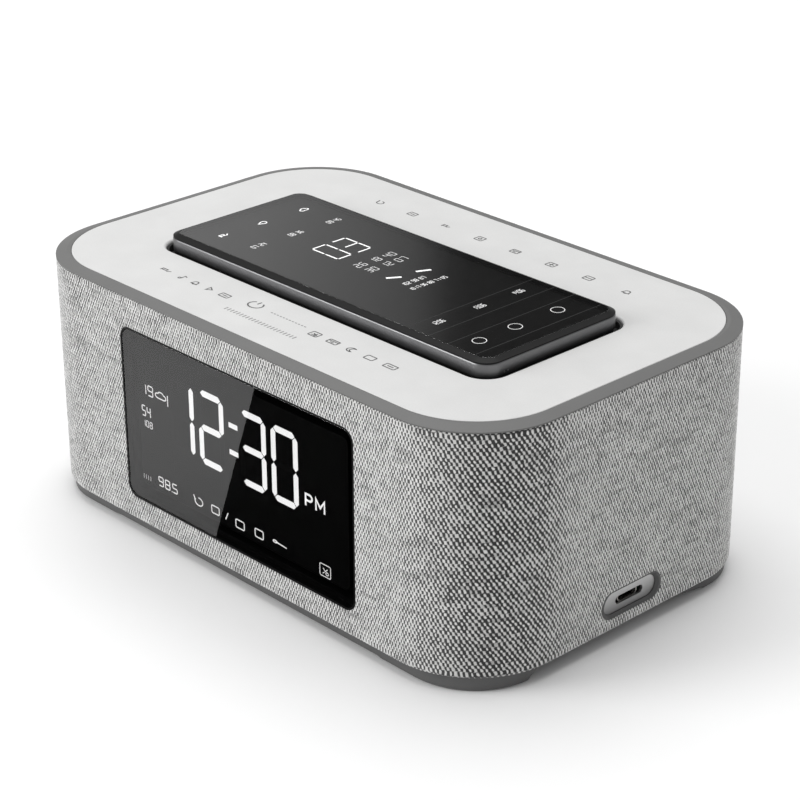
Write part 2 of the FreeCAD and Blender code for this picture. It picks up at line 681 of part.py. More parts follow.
def bar(start, end, half_width, gap):
    """A segment from one joint of a digit to the next, with ends mitred to a point."""
    along = (end - start).normalize()
    across = Vector(-along.y, along.x, 0)
    tip, neck = along * gap, along * (gap + half_width)
    side = across * half_width
    corners = [start + tip, start + neck + side, end - neck + side, end - tip,
               end - neck - side, start + neck - side]
    return Part.Face(Part.makePolygon(corners + corners[:1]))


def digit_bars(number, lit, grow=0.0):
    """The segments of one digit that are lit, or those that are not, about the digit's centre."""
    half = value("stroke") / 2
    right = value("digit_width") / 2 - half
    top = value("digit_height") / 2 - half
    gap = value("stroke_gap") / 2
    joint = {"tl": Vector(-right, top, 0), "tr": Vector(right, top, 0), "l": Vector(-right, 0, 0),
             "r": Vector(right, 0, 0), "bl": Vector(-right, -top, 0), "br": Vector(right, -top, 0)}
    ends = {"top": ("tl", "tr"), "upper_right": ("tr", "r"), "lower_right": ("r", "br"),
            "bottom": ("bl", "br"), "lower_left": ("l", "bl"), "upper_left": ("tl", "l"),
            "middle": ("l", "r")}
    return [bar(joint[ends[name][0]], joint[ends[name][1]], half + grow, gap - grow)
            for name in SEGMENTS if (name in LIT[number]) == lit]


def display_bars(lit, depth, grow=0.0):
    """Solids of all the display's lit or unlit segments, with the two colon bars among the lit."""
    step, offset, middle = value("digit_pitch"), value("pair_offset"), value("digit_east")
    centres = [middle + pair + step * half for pair in (-offset, offset) for half in (-0.5, 0.5)]
    level = value("digit_level - window_level")
    solids = []
    for number, centre in zip(TIME_SHOWN, centres):
        for face in digit_bars(number, lit, grow):
            solids.append(face.translated(Vector(centre, level, 0)).extrude(Vector(0, 0, depth)))
    if lit:
        long, tall = COLON_BAR[0] + 2 * grow, COLON_BAR[1] + 2 * grow
        for height in COLON_HEIGHTS:
            corner = Vector(middle + COLON_EAST - long / 2, level + height - tall / 2, 0)
            solids.append(Part.makeBox(long, tall, depth, corner))
    return solids


def make_display_module():
    """The light block behind the lens: a reflector with a cell for each segment, and the diffusers."""
    depth, clearance, spare, diffuser = value("reflector_depth"), 0.06, 1, 2
    reflector = body("Reflector")
    outline = ("window_length - 10", "window_height - 10", 2)
    plate_pad(reflector, outline, "-reflector_depth", "reflector_depth")
    cells = doc.addObject("Part::Feature", "ReflectorCells")
    through = depth + 2 * spare
    solids = display_bars(True, through, clearance) + display_bars(False, through, clearance)
    cells.Shape = Part.makeCompound([solid.translated(Vector(0, 0, -depth - spare)) for solid in solids])
    carved = cut(reflector, cells, "CarvedReflector")
    place(sub_part(carved, "display_reflector"), "window_east", BLOCK_FRONT, "window_level", TO_FRONT)
    for label, lit in (("lit_segments", True), ("unlit_segments", False)):
        diffusers = doc.addObject("Part::Feature", label)
        diffusers.Shape = Part.makeCompound(
            [solid.translated(Vector(0, 0, -diffuser)) for solid in display_bars(lit, diffuser)])
        place(sub_part(diffusers, label), "window_east", BLOCK_FRONT, "window_level", TO_FRONT)


def make_led_board():
    """The display's circuit board and the light-emitting chips on it, one behind each cell."""
    board = rounded_block("window_length - 12", "window_height - 12", "board_thick", 1, "LedBoard")
    place(sub_part(board, "led_board"), "window_east", f"{LED_FACE} + board_thick", "window_level", TO_FRONT)
    chips = []
    for pair in (-1, 1):
        for half in (-0.5, 0.5):
            for row in (-1, 0, 1):
                chips.append(block(2.0, 1.2, 0.7, f"digit_east + {pair} * pair_offset + {half} * digit_pitch",
                                   f"digit_level - window_level + {row} * 0.4 * digit_height", 0.02, "led"))
    front_side = place(group(chips, "Leds"), "window_east", LED_FACE, "window_level", TO_FRONT)
    driver = blocks(LED_DRIVER, "driver")
    back_side = place(group(driver, "LedDriver"), "window_east", f"{LED_FACE} + board_thick + 0.02",
                      "window_level", TO_BACK)
    sub_part(group([front_side, back_side], "LedBoardChips"), "led_board_chips")


# ---------------------------------------------------------------- port

def make_port():
    """The charging port: a dark cup in the wall with a flared mouth, a metal plate at its floor, and
    the receptacle and its board behind."""
    outline = ("port_length", "port_height", "port_height / 2 - 0.02")
    hollow = ("port_face_length", "port_face_height", "port_face_height / 2 - 0.02")
    passage = (13.6, 4.2, 2)
    wall_back = "shell_inset + shell_thick + 0.05"
    flange = 1
    cup = body("Cup")
    ring_pad(cup, outline, hollow, f"-({wall_back}) - {flange}", f"{wall_back} + {flange} - 0.1")
    plate_back = "port_depth + port_plate_thick + 0.05"
    ring_pad(cup, outline, passage, f"-({plate_back}) - port_floor", "port_floor")
    ring_pad(cup, ("port_length + 4", "port_height + 2.2", "port_height / 2 + 1"), hollow,
             f"-({wall_back}) - {flange}", flange)
    face = value("port_face_length") / 2 + 0.1, value("port_face_height") / 2 + 0.1
    dress(cup, "Chamfer", "port_flare", level_edges(-0.1, inside=face))
    place(sub_part(cup, "port_cup"), "body_length / 2", "port_north", "port_level", PORT_TURN)

    plate = body("PortPlate")
    slot = (12.6, 2.8, 1.38)
    ring_pad(plate, ("port_face_length - 0.1", "port_face_height - 0.1", "port_face_height / 2 - 0.08"), slot,
             "-port_depth - port_plate_thick", "port_plate_thick")
    place(sub_part(plate, "port_plate"), "body_length / 2", "port_north", "port_level", PORT_TURN)

    socket = body("Socket")
    mouth = ("body_length / 2 - port_depth - port_plate_thick - 0.05 - socket_length", "port_north",
             "port_level")
    ring_pad(socket, (8.94, 3.26, 1.6), (8.34, 2.56, 1.26), 0, "socket_length")
    plate_pad(socket, (8.94, 3.26, 1.6), -0.4, 0.5)
    place(sub_part(socket, "usb_c_shell"), *mouth, PORT_TURN)
    tongue = body("Tongue")
    plate_pad(tongue, (6.69, 0.7, 0.2), 0.15, 5.8)
    plate_pad(tongue, (8.2, 2.4, 1.1), 0.15, 1.2)
    place(sub_part(tongue, "usb_c_tongue"), *mouth, PORT_TURN)

    board = body("PortBoard")
    board_front = "(port_depth + 3.5)"
    middle = f"(port_board_back + {board_front}) / 2"
    plate_pad(board, (f"port_board_back - {board_front}", 23, 1), 0, 1.2)
    fixings = sketch(board, level=0)
    for y in (-1, 1):
        circle_loop(fixings, "port_pilot + 0.25", f"{middle} - port_screw_inset", f"{y} * port_screw_offset")
    pocket(board, fixings, 2, upwards=True)
    place(sub_part(board, "port_board"), f"body_length / 2 - {middle}", "port_north", "port_level - 2.88")


# ---------------------------------------------------------------- speakers

def make_speaker(side, turn, shared):
    """One full-range driver behind the end wall, built about its own axis, +Z towards the wall."""
    face = f"{1 if side == 'right' else -1} * (body_length / 2 - shell_inset - shell_thick - speaker_pad)"
    title = side.capitalize()

    def fit(thing, label):
        place(sub_part(thing, label), face, 0, "speaker_level", turn)

    square = ("speaker_square", "speaker_square", 6)
    gasket = body(f"{title}Gasket")
    flat = sketch(gasket, level=-1)
    rounded_loop(flat, *square)
    circle_loop(flat, "speaker_bore + 0.1")
    for x, y in CORNERS:
        circle_loop(flat, "speaker_clear", f"{x} * speaker_hole", f"{y} * speaker_hole")
    pad(gasket, flat, 0.98)
    shared["speaker_gaskets"].append(place(gasket, face, 0, "speaker_level", turn))

    basket = body(f"{title}Basket")
    flat = sketch(basket, level=-2.5)
    rounded_loop(flat, *square)
    circle_loop(flat, "speaker_bore")
    for x, y in CORNERS:
        circle_loop(flat, "speaker_clear", f"{x} * speaker_hole", f"{y} * speaker_hole")
    pad(basket, flat, 1.48)
    spider = sketch(basket, "XZ")
    polygon_loop(spider, [("speaker_bore", -2.5), ("speaker_bore + 1.6", -2.5), ("speaker_bore + 1.2", -7),
                          (16, -14.5), (10.4, -14.5), (10.4, -13.2), (15, -13.2), ("speaker_bore", -6.4)])
    revolve(basket, spider)
    windows = sketch(basket, level=-15)
    for index in range(6):
        turn_angle = math.radians(60 * index)
        circle_loop(windows, 4.4, f"{18.6 * math.cos(turn_angle):.3f}", f"{18.6 * math.sin(turn_angle):.3f}")
    pocket(basket, windows, 11.5, upwards=True)
    fit(basket, f"speaker_basket_{side}")

    magnet = body(f"{title}Magnet")
    ring = sketch(magnet, level=-24.9)
    circle_loop(ring, 20)
    circle_loop(ring, 11.5)
    pad(magnet, ring, 7.9)
    fit(magnet, f"speaker_magnet_{side}")

    top = body(f"{title}TopPlate")
    ring = sketch(top, level=-16.9)
    circle_loop(ring, 18)
    circle_loop(ring, 9.7)
    pad(top, ring, 2.3)
    yoke = body(f"{title}Yoke")
    profile = sketch(yoke, "XZ")
    polygon_loop(profile, [(0, -27.9), (19, -27.9), (19, -25), (8.4, -25), (8.4, -14.6), (0, -14.6)])
    revolve(yoke, profile)
    fit(group([top, yoke], f"{title}Steel"), f"speaker_yoke_{side}")

    cone = body(f"{title}Cone")
    profile = sketch(cone, "XZ")
    polygon_loop(profile, [(8.75, -21), (9.15, -21), (9.15, -10.6), (18.8, -4.2), (18.8, -3.5), (9.4, -9.7),
                           (8, -8.5), (5, -7.5), (0, -7.1), (0, -7.6), (4.8, -8), (7.6, -8.9),
                           (8.75, -9.9)])
    revolve(cone, profile)
    fit(cone, f"speaker_cone_{side}")

    roll = body(f"{title}Surround")
    profile = sketch(roll, "XZ")
    polygon_loop(profile, [(19.1, -4.2), (19.1, -3.5), (19.9, -2.3), (21.2, -1.7), (22.5, -2.3),
                           (23.3, -3.5), (23.3, -4.2), (22.7, -4.2), (22.1, -3), (21.2, -2.5),
                           (20.3, -3), (19.7, -4.2)])
    revolve(roll, profile)
    shared["speaker_surrounds"].append(place(roll, face, 0, "speaker_level", turn))


def make_speakers():
    """Both drivers; their gaskets share a node, and so do their rubber surrounds."""
    shared = {"speaker_gaskets": [], "speaker_surrounds": []}
    make_speaker("left", TO_LEFT, shared)
    make_speaker("right", TO_RIGHT, shared)
    for label, pieces in shared.items():
        sub_part(group(pieces, label.title().replace("_", "")), label)


def make_speaker_screws():
    """Four screws through each speaker's flange into the thickened wall."""
    screws = []
    face = "(body_length / 2 - shell_inset - shell_thick - speaker_pad - 2.52)"
    for direction, turn in ((1, TO_LEFT), (-1, TO_RIGHT)):
        for x, y in CORNERS:
            made = screw("2.1", "1.3", "1.05", "6", "speaker_screw")
            place(made, f"{direction} * {face}", f"{x} * speaker_hole",
                  f"speaker_level + {y} * speaker_hole", turn)
            screws.append(made)
    sub_part(group(screws, "SpeakerScrews"), "speaker_screws")


# ---------------------------------------------------------------- charger and touch boards

CHARGER_CHIPS = ((7, 7, 1, 0, 6), (5, 4, 1.2, -8, -8), (6, 6, 3, 8, -10), (4, 3, 1, 8, 12))
# each row of touch marks: its Y, the X of its middle, the step from mark to mark and their number
TOUCH_ROWS = ((48, 3.4, 16.6, 8), (-47, -2.4, 12.1, 10))


def make_charger():
    """The charging coil below the well, its ferrite, its bracket and its driver board. Returns the
    bracket's screws, which share a node with the other board screws."""
    under = "plate_level - well_depth - well_wall"
    coil = body("Coil")
    ring = sketch(coil)
    coil_outside, coil_inside, coil_thick, turn_pitch, half_groove = 21.5, 9.5, 1.1, 1.5, 0.1
    circle_loop(ring, coil_outside)
    circle_loop(ring, coil_inside)
    pad(coil, ring, coil_thick)
    grooves = sketch(coil, level=coil_thick)
    for index in range(1, 8):
        between = coil_inside + turn_pitch * index
        circle_loop(grooves, between - half_groove)
        circle_loop(grooves, between + half_groove)
    pocket(coil, grooves, 0.4)
    place(sub_part(coil, "charging_coil"), "well_east", "well_north", f"{under} - 1.2")
    ferrite = rounded_block(50, 36, 1.2, 2, "Ferrite")
    place(sub_part(ferrite, "ferrite_sheet"), "well_east", "well_north", f"{under} - 2.45")
    bracket = body("Bracket")
    plate_pad(bracket, (76, 51, 4), 0, 2)
    ring_pad(bracket, (54.4, 40.4, 3), (50.4, 36.4, 2.1), 1.9, 1.5)
    holes = sketch(bracket, level=0)
    for x, y in CORNERS:
        circle_loop(holes, 1.2, f"{x} * bracket_east", f"{y} * bracket_north")
    pocket(bracket, holes, 3, upwards=True)
    bosses = sketch(bracket, level=0.85)
    for x, y in CORNERS:
        circle_loop(bosses, 2.9, f"{x} * bracket_east", f"{y} * bracket_north")
    pocket(bracket, bosses, 3, upwards=True)
    place(sub_part(bracket, "coil_bracket"), "well_east", "well_north", f"{under} - 5.9")
    screws = []
    for x, y in CORNERS:
        made = screw("1.9", "1.2", "0.85", "4.5", "bracket_screw")
        place(made, *bracket_screw(x, y), f"{under} - 5.92", UPSIDE_DOWN)
        screws.append(made)
    board = rounded_block(32, 44, 1.2, 1, "ChargerBoard")
    board_place = "well_east - 60", "well_north"
    place(sub_part(board, "charger_board"), *board_place, f"{under} - 1.6")
    chips = group(blocks(CHARGER_CHIPS, "chip"), "ChargerChips")
    place(sub_part(chips, "charger_chips"), *board_place, f"{under} - 1.62", UPSIDE_DOWN)
    return screws


def make_touch_boards():
    """Two sensor strips under the white plate, with a round electrode below each touch mark."""
    under = "plate_level - plate_thick"
    strips, electrodes = [], []
    for north, middle, step, count in TOUCH_ROWS:
        strip = rounded_block(f"{step * (count - 1) + 14:.2f}", 11, 1, 2, "TouchStrip")
        strips.append(place(strip, middle, north, f"{under} - 1.4"))
        for index in range(count):
            east = middle + step * (index - (count - 1) / 2)
            electrodes.append(post(3.6, 0.3, f"{east:.2f}", north, f"{under} - 0.35", name="electrode"))
    sub_part(group(strips, "TouchBoards"), "touch_boards")
    sub_part(group(electrodes, "Electrodes"), "touch_electrodes")


# ---------------------------------------------------------------- main board

MAIN_CHIPS = ((12, 12, 1.4, -18, 4), (8, 8, 1, 6, 14), (10, 6, 1.6, 12, -10), (5, 4, 1.2, -32, -14),
              (6, 5, 1.2, -4, -20))
SPEAKER_SOCKETS = {1: (44, 22), -1: (-44, 26)}      # right and left, from the middle of the board
MAIN_SOCKETS = ((10, 6, 5, *SPEAKER_SOCKETS[1]), (10, 6, 5, *SPEAKER_SOCKETS[-1]), (16, 4, 2.4, 2, -29),
                (6, 8, 5, 52, 0))
# each capacitor: its centre on the board, its radius and its height
CANS = ((-44, 10, 4, 10), (-44, -4, 4, 10), (26, 20, 5, 12.5), (26, 6, 5, 12.5), (44, -10, 3.2, 8))


def make_main_board(bracket_screws):
    """The radio's main board on its posts, with what stands on it."""
    board = body("MainBoard")
    plate_pad(board, ("board_length", "board_width", 2), 0, "board_thick")
    holes = sketch(board)
    for x, y in CORNERS:
        circle_loop(holes, "board_pilot + 0.25", f"{x} * (board_length / 2 - board_screw_inset)",
                    f"{y} * (board_width / 2 - board_screw_inset)")
    pocket(board, holes, 3, upwards=True)

    def fit(thing, label, lift="board_thick + 0.02"):
        place(sub_part(thing, label), "board_east", "board_north", f"board_level + {lift}")

    fit(board, "main_board", "0.02")
    fit(group(blocks(MAIN_CHIPS, "chip"), "Chips"), "board_chips")
    cans = [post(radius, height, east, north, name="capacitor") for east, north, radius, height in CANS]
    fit(group(cans, "Capacitors"), "capacitors")
    shield = body("Shield")
    plate_pad(shield, (24, 19, 1.2), 0, 3.2)
    hollow = sketch(shield)
    rounded_loop(hollow, 23.4, 18.4, 0.9)
    pocket(shield, hollow, 2.9, upwards=True)
    place(sub_part(shield, "tuner_shield"), "board_east - 20", "board_north + 21",
          "board_level + board_thick + 0.02")
    fit(group(blocks(MAIN_SOCKETS, "socket"), "Sockets"), "board_sockets")
    sink = body("HeatSink")
    plate_pad(sink, (18, 14, 0.5), 0, 2)
    fins = sketch(sink, level=1.9)
    fin_pitch = 4
    for index in range(-2, 3):
        rounded_loop(fins, 1, 13.6, 0.4, 0.01 + fin_pitch * index, 0)
    pad(sink, fins, 7)
    place(sub_part(sink, "amplifier_heatsink"), "board_east + 12", "board_north - 10",
          "board_level + board_thick + 1.65")
    screws = list(bracket_screws)
    for x, y in CORNERS:
        made = screw("2.3", "1.5", "1.05", "7", "board_screw")
        place(made, *board_screw(x, y), "board_level + board_thick + 0.04")
        screws.append(made)
    for y in (-1, 1):
        made = screw("1.7", "1.2", "0.85", "5", "port_screw")
        place(made, *port_screw(y), "port_level - 1.66")
        screws.append(made)
    sub_part(group(screws, "BoardScrews"), "board_screws")


# ---------------------------------------------------------------- wiring

def routed(points, radius, turn):
    """A round wire along straight runs joined by tangent arcs of one radius."""
    points = [Vector(*point) for point in points]
    edges, start = [], points[0]
    for before, corner, after in zip(points, points[1:], points[2:]):
        inward = (corner - before).normalize()
        outward = (after - corner).normalize()
        angle = inward.getAngle(outward)
        reach = turn * math.tan(angle / 2)
        first, last = corner - inward * reach, corner + outward * reach
        towards = (outward - inward).normalize()
        centre = corner + towards * (turn / math.cos(angle / 2))
        middle = centre - towards * turn
        edges += [Part.LineSegment(start, first).toShape(), Part.Arc(first, middle, last).toShape()]
        start = last
    edges.append(Part.LineSegment(start, points[-1]).toShape())
    path = Part.Wire(edges)
    section = Part.Wire(Part.Circle(points[0], points[1] - points[0], radius).toShape())
    tube = path.makePipeShell([section], True, True)
    wanted = math.pi * radius ** 2 * path.Length
    if abs(tube.Volume - wanted) > 0.01 * wanted:
        raise RuntimeError("a wire's volume is wrong")
    return tube


def make_wiring():
    """The speakers' leads, the display's flat ribbon and the aerial strip on the back wall."""
    board_top = value("board_level + board_thick")
    east, north = value("board_east"), value("board_north")
    level = value("speaker_level")
    tubes = []
    socket_top, run_height, end_north, end_east = 5.1, 15, 24, 92
    for direction, (socket_east, socket_north) in SPEAKER_SOCKETS.items():
        start, end = (east + socket_east, north + socket_north), (direction * end_east, end_north)
        route = [(*start, board_top + socket_top), (*start, board_top + run_height),
                 (*end, board_top + run_height), (*end, level - 6)]
        tubes.append(routed(route, 0.8, 5))
    leads = doc.addObject("Part::Feature", "SpeakerLeads")
    leads.Shape = Part.makeCompound(tubes)
    sub_part(leads, "speaker_leads")
    ribbon = body("Ribbon")
    drawn = sketch(ribbon, "YZ")
    back = value(f"{LED_FACE} + board_thick")
    low = value("window_level") - 20
    run = value("board_north") - 29
    polygon_loop(drawn, [(f"{back + 2.3:.3f}", low), (f"{back + 2.3:.3f}", low - 0.2),
                         (f"{back + 8.2:.3f}", low - 0.2), (f"{run - 2:.3f}", board_top + 2.7),
                         (f"{run:.3f}", board_top + 2.7), (f"{run:.3f}", board_top + 2.5),
                         (f"{run - 2.1:.3f}", board_top + 2.5), (f"{back + 8.1:.3f}", low - 0.4),
                         (f"{back + 2.25:.3f}", low - 0.4), (f"{back + 2.25:.3f}", low)])
    pad(ribbon, drawn, 12, both_ways=True)
    place(sub_part(ribbon, "display_ribbon"), "board_east + 2")
    aerial = rounded_block(96, 14, 0.4, 2, "Aerial")
    place(sub_part(aerial, "aerial_strip"), 0, "body_depth / 2 - shell_inset - shell_thick - 0.45",
          66, TO_BACK)


# ---------------------------------------------------------------- back-up cell

def make_cell():
    """The clock's back-up coin cell, its holder, its spring contact and the sliding door below it."""
    base = "wall_low + 0.82"
    holder = body("Holder")
    plate_pad(holder, (27, 27, 3), 0, 6.4)
    hollow = sketch(holder)
    circle_loop(hollow, "cell_radius + 0.25")
    pocket(holder, hollow, "cell_thick + 1.8", upwards=True)
    place(sub_part(holder, "cell_holder"), "cell_east", "cell_north", base)
    cell = body("Cell")
    drawn = sketch(cell)
    circle_loop(drawn, "cell_radius")
    pad(cell, drawn, "cell_thick")
    dress(cell, "Chamfer", 0.4, level_edges("cell_thick"))
    place(sub_part(cell, "coin_cell"), "cell_east", "cell_north", "wall_low + 0.6")
    contact = group([block(4, 15, 0.3, 0, 0, 0, "spring_strip"), block(4, 4, 0.6, 0, 0, -0.62, "spring_pip")],
                    "Contact")
    place(sub_part(contact, "cell_contact"), "cell_east", "cell_north", "wall_low + 5.1")
    door = body("Door")
    length, corner = "2 * cell_radius + 5.8", 0.5
    plate_pad(door, ("door_width", length, corner), 0, 0.55)
    plate_pad(door, ("door_width + 2 * door_lip", length, corner), 0.5, 0.6)
    grip = sketch(door, level=0)
    for index in range(4):
        rounded_loop(grip, 12, 0.8, 0.3, 0, -9 + 2 * index)
    pocket(door, grip, 0.3, upwards=True)
    place(sub_part(door, "battery_door"), "cell_east", "cell_north", "base_low + 0.15")


# ---------------------------------------------------------------- slate

def make_slate():
    """The touch slate: a back, a metal band, a black surround, glass, and what is sealed inside."""
    floor = "plate_level - well_depth + liner_thick"

    def fit(thing, label, lift, east=0, north=0):
        place(sub_part(thing, label), f"well_east + {east}", f"well_north + {north}", f"{floor} + {lift}")

    back = body("SlateBack")
    plate_pad(back, slate_outline(0.5), 0, 1)
    dress(back, "Fillet", 0.6, level_edges(0))
    fit(back, "slate_back", "0")
    band = body("SlateBand")
    ring_pad(band, slate_outline(0), slate_outline(1.9), 0, "slate_thick - 2.4")
    edge_reach = (value("slate_length") / 2 - 1, 1000)
    dress(band, "Fillet", 1.5, level_edges(0, outside=edge_reach))
    dress(band, "Fillet", 0.6, level_edges("slate_thick - 2.4", outside=edge_reach))
    fit(band, "slate_band", "1.03")
    surround = body("SlateSurround")
    ring_pad(surround, slate_outline(0.1), slate_outline("slate_rim - 0.05"), 0, 1.3)
    dress(surround, "Chamfer", 0.9, level_edges(1.3, outside=edge_reach), second=1.9)
    fit(surround, "slate_surround", "slate_thick - 1.35")
    glass = body("SlateGlass")
    plate_pad(glass, slate_outline("slate_rim"), 0, 1.3)
    dress(glass, "Fillet", 0.2, level_edges(1.3))
    fit(glass, "slate_glass", "slate_thick - 1.3")
    panel = rounded_block(*slate_outline("slate_rim + 0.5")[:2], 0.9, 3, "SlatePanel")
    fit(panel, "slate_panel", "slate_thick - 2.25")
    cell = rounded_block(78, 44, 3, 2, "SlateCell")
    fit(cell, "slate_battery", "2.2", 28)
    board = rounded_block(56, 50, 0.8, 2, "SlateBoard")
    fit(board, "slate_board", "2.2", -42)
    coil = body("SlateCoil")
    ring = sketch(coil)
    circle_loop(ring, 20)
    circle_loop(ring, 10)
    pad(coil, ring, 0.5)
    fit(coil, "slate_coil", "1.4")


# ---------------------------------------------------------------- the whole radio

make_cabinet_shell()
make_fabric_sleeve()
make_base_tray()
make_feet_and_base_screws()
make_top_rim()
make_top_plate()
make_well_liner()
make_display_frame()
make_display_lens()
make_display_module()
make_led_board()
make_port()
make_speakers()
make_speaker_screws()
coil_bracket_screws = make_charger()
make_touch_boards()
make_main_board(coil_bracket_screws)
make_wiring()
make_cell()
make_slate()
doc.recompute()

failed = [item.Label for item in doc.Objects if {"Invalid", "Error"} & set(item.State)]
failed += [item.Label for item in PARTS if item.Shape.isNull() or not item.Shape.isValid()]
if failed:
    raise RuntimeError(f"failed objects: {failed}")

os.makedirs("parts", exist_ok=True)
for item in PARTS:
    item.Shape.exportStep(f"parts/{item.Label}.step")
    print(f"{item.Label:24s} {len(item.Shape.Solids):3d} solids {item.Shape.Volume:12.2f} mm3")
print(len(PARTS), "sub-parts")
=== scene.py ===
import json
import math

import bmesh
import bpy
import numpy as np
from mathutils import Matrix, Vector


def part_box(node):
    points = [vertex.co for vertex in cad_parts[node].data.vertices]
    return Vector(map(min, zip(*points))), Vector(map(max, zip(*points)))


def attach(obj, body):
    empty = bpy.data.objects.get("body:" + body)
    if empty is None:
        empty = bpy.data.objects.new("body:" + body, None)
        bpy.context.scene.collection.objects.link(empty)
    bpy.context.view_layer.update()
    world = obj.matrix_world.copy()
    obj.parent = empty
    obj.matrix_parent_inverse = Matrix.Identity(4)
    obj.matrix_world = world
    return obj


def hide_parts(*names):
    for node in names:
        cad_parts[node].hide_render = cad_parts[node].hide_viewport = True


# A bedside clock radio in a pale studio. The CAD nodes give every place and size; this script adds the
# woven wrap, the printed and lit marks, every material, the lights and the camera. Millimetres
# throughout, turned into metres where an object is made.

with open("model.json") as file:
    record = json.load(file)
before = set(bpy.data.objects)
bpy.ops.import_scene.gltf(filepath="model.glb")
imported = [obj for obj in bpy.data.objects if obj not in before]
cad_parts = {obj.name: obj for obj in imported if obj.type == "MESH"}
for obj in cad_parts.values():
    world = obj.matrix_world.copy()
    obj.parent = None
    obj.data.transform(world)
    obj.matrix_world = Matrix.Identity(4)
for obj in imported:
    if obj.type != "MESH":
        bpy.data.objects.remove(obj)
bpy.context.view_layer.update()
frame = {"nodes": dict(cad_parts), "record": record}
nodes = frame["nodes"]

MM = 0.001


def span(node):
    """A CAD node's lowest and highest corner, in millimetres."""
    low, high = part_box(node)
    return low / MM, high / MM


SLEEVE = span("fabric_sleeve")
LENS = span("display_lens")
REFLECTOR = span("display_reflector")
PORT_PLATE = span("port_plate")
PLATE = span("top_plate")
SLATE = span("slate_band")
GLASS = span("slate_glass")
PANEL = span("slate_panel")

CORNER_RADIUS = 32                      # plan radius of the wrap's corners
FRAME_EDGE, FRAME_RADIUS = (0.7, 0.7), 4.65     # from the lens to the edge of the cloth around it
PORT_EDGE, PORT_RADIUS = (1.9, 1.1), 4.7        # from the port's metal plate to the edge of the cloth
SLATE_MIDDLE = (SLATE[0] + SLATE[1]) / 2
DISPLAY_MIDDLE = (LENS[0] + LENS[1]) / 2


# ---------------------------------------------------------------- camera

CAMERA_AZIMUTH = 46.72                  # degrees from the front towards the right-hand end
CAMERA_HEIGHT = 24.94                   # degrees above the horizon
CAMERA_ROLL = -0.30
CAMERA_DISTANCE = 774.8
CAMERA_AIM = Vector((15.0, -8.5, 52.0))
CAMERA_LENS = 106.4                     # focal length for a 36 mm sensor


def make_camera():
    turn, rise, roll = (math.radians(a) for a in (CAMERA_AZIMUTH, CAMERA_HEIGHT, CAMERA_ROLL))
    back = Vector((math.sin(turn) * math.cos(rise), -math.cos(turn) * math.cos(rise), math.sin(rise)))
    level = Vector((math.cos(turn), math.sin(turn), 0))
    upright = back.cross(level)
    right = level * math.cos(roll) + upright * math.sin(roll)
    up = back.cross(right)
    camera = bpy.data.objects.new("camera", bpy.data.cameras.new("camera"))
    camera.data.lens = CAMERA_LENS
    camera.data.sensor_width = 36
    camera.data.clip_start = 0.01
    camera.matrix_world = Matrix.LocRotScale(
        (CAMERA_AIM + back * CAMERA_DISTANCE) * MM, Matrix((right, up, back)).transposed(), None)
    bpy.context.scene.collection.objects.link(camera)
    bpy.context.scene.camera = camera


# ---------------------------------------------------------------- materials

class Finish:
    """A node material, built up from sockets. Lengths in its patterns are millimetres."""

    def __init__(self, name):
        self.material = bpy.data.materials.new(name)
        self.material.use_nodes = True
        self.tree = self.material.node_tree
        self.tree.nodes.clear()
        self.output = self.tree.nodes.new("ShaderNodeOutputMaterial")
        self.place = None

    def node(self, kind, **values):
        """A node whose properties and inputs are set by name; an input may be another node's socket."""
        made = self.tree.nodes.new(f"ShaderNode{kind}")
        for name, given in values.items():
            if hasattr(made, name):
                setattr(made, name, given)
            else:
                self.feed(made.inputs[name.replace("_", " ")], given)
        return made

    def feed(self, socket, given):
        if isinstance(given, bpy.types.NodeSocket):
            self.tree.links.new(given, socket)
        elif isinstance(given, tuple) and socket.type == "RGBA":
            socket.default_value = (*given, 1)
        else:
            socket.default_value = given

    def math(self, operation, first, second=0.0):
        made = self.node("Math", operation=operation)
        for socket, given in zip(made.inputs, (first, second)):
            self.feed(socket, given)
        return made.outputs[0]

    def millimetres(self):
        """The place on the object, in millimetres."""
        if self.place is None:
            place = self.node("TexCoord").outputs["Object"]
            scaled = self.node("VectorMath", operation="SCALE")
            self.feed(scaled.inputs[0], place)
            scaled.inputs["Scale"].default_value = 1 / MM
            self.place = scaled.outputs[0]
        return self.place

    def stretched(self, x, y, z, vector=None):
        scaled = self.node("VectorMath", operation="MULTIPLY")
        self.feed(scaled.inputs[0], vector or self.millimetres())
        scaled.inputs[1].default_value = (x, y, z)
        return scaled.outputs[0]

    def noise(self, size, detail=2.0, vector=None):
        """Noise whose features are about `size` millimetres across."""
        made = self.node("TexNoise", Scale=1 / size, Detail=detail, Roughness=0.55)
        self.feed(made.inputs["Vector"], vector or self.millimetres())
        return made.outputs["Fac"]

    def ramp(self, socket, low, high, smooth=False, from_low=0.0, from_high=1.0):
        made = self.node("MapRange", interpolation_type="SMOOTHSTEP" if smooth else "LINEAR")
        for name, given in (("Value", socket), ("From Min", from_low), ("From Max", from_high),
                            ("To Min", low), ("To Max", high)):
            self.feed(made.inputs[name], given)
        return made.outputs[0]

    def mix(self, share, first, second):
        made = self.node("Mix", data_type="RGBA")
        for index, given in ((0, share), (6, first), (7, second)):
            self.feed(made.inputs[index], given)
        return made.outputs[2]

    def shade(self, colour, light):
        """A colour times a grey level."""
        made = self.node("VectorMath", operation="SCALE")
        self.feed(made.inputs[0], colour)
        self.feed(made.inputs["Scale"], light)
        return made.outputs[0]

    def bump(self, height, depth):
        return self.node("Bump", Distance=depth * MM, Height=height).outputs[0]

    def principled(self, **inputs):
        made = self.node("BsdfPrincipled", **inputs)
        self.feed(self.output.inputs["Surface"], made.outputs[0])
        return made


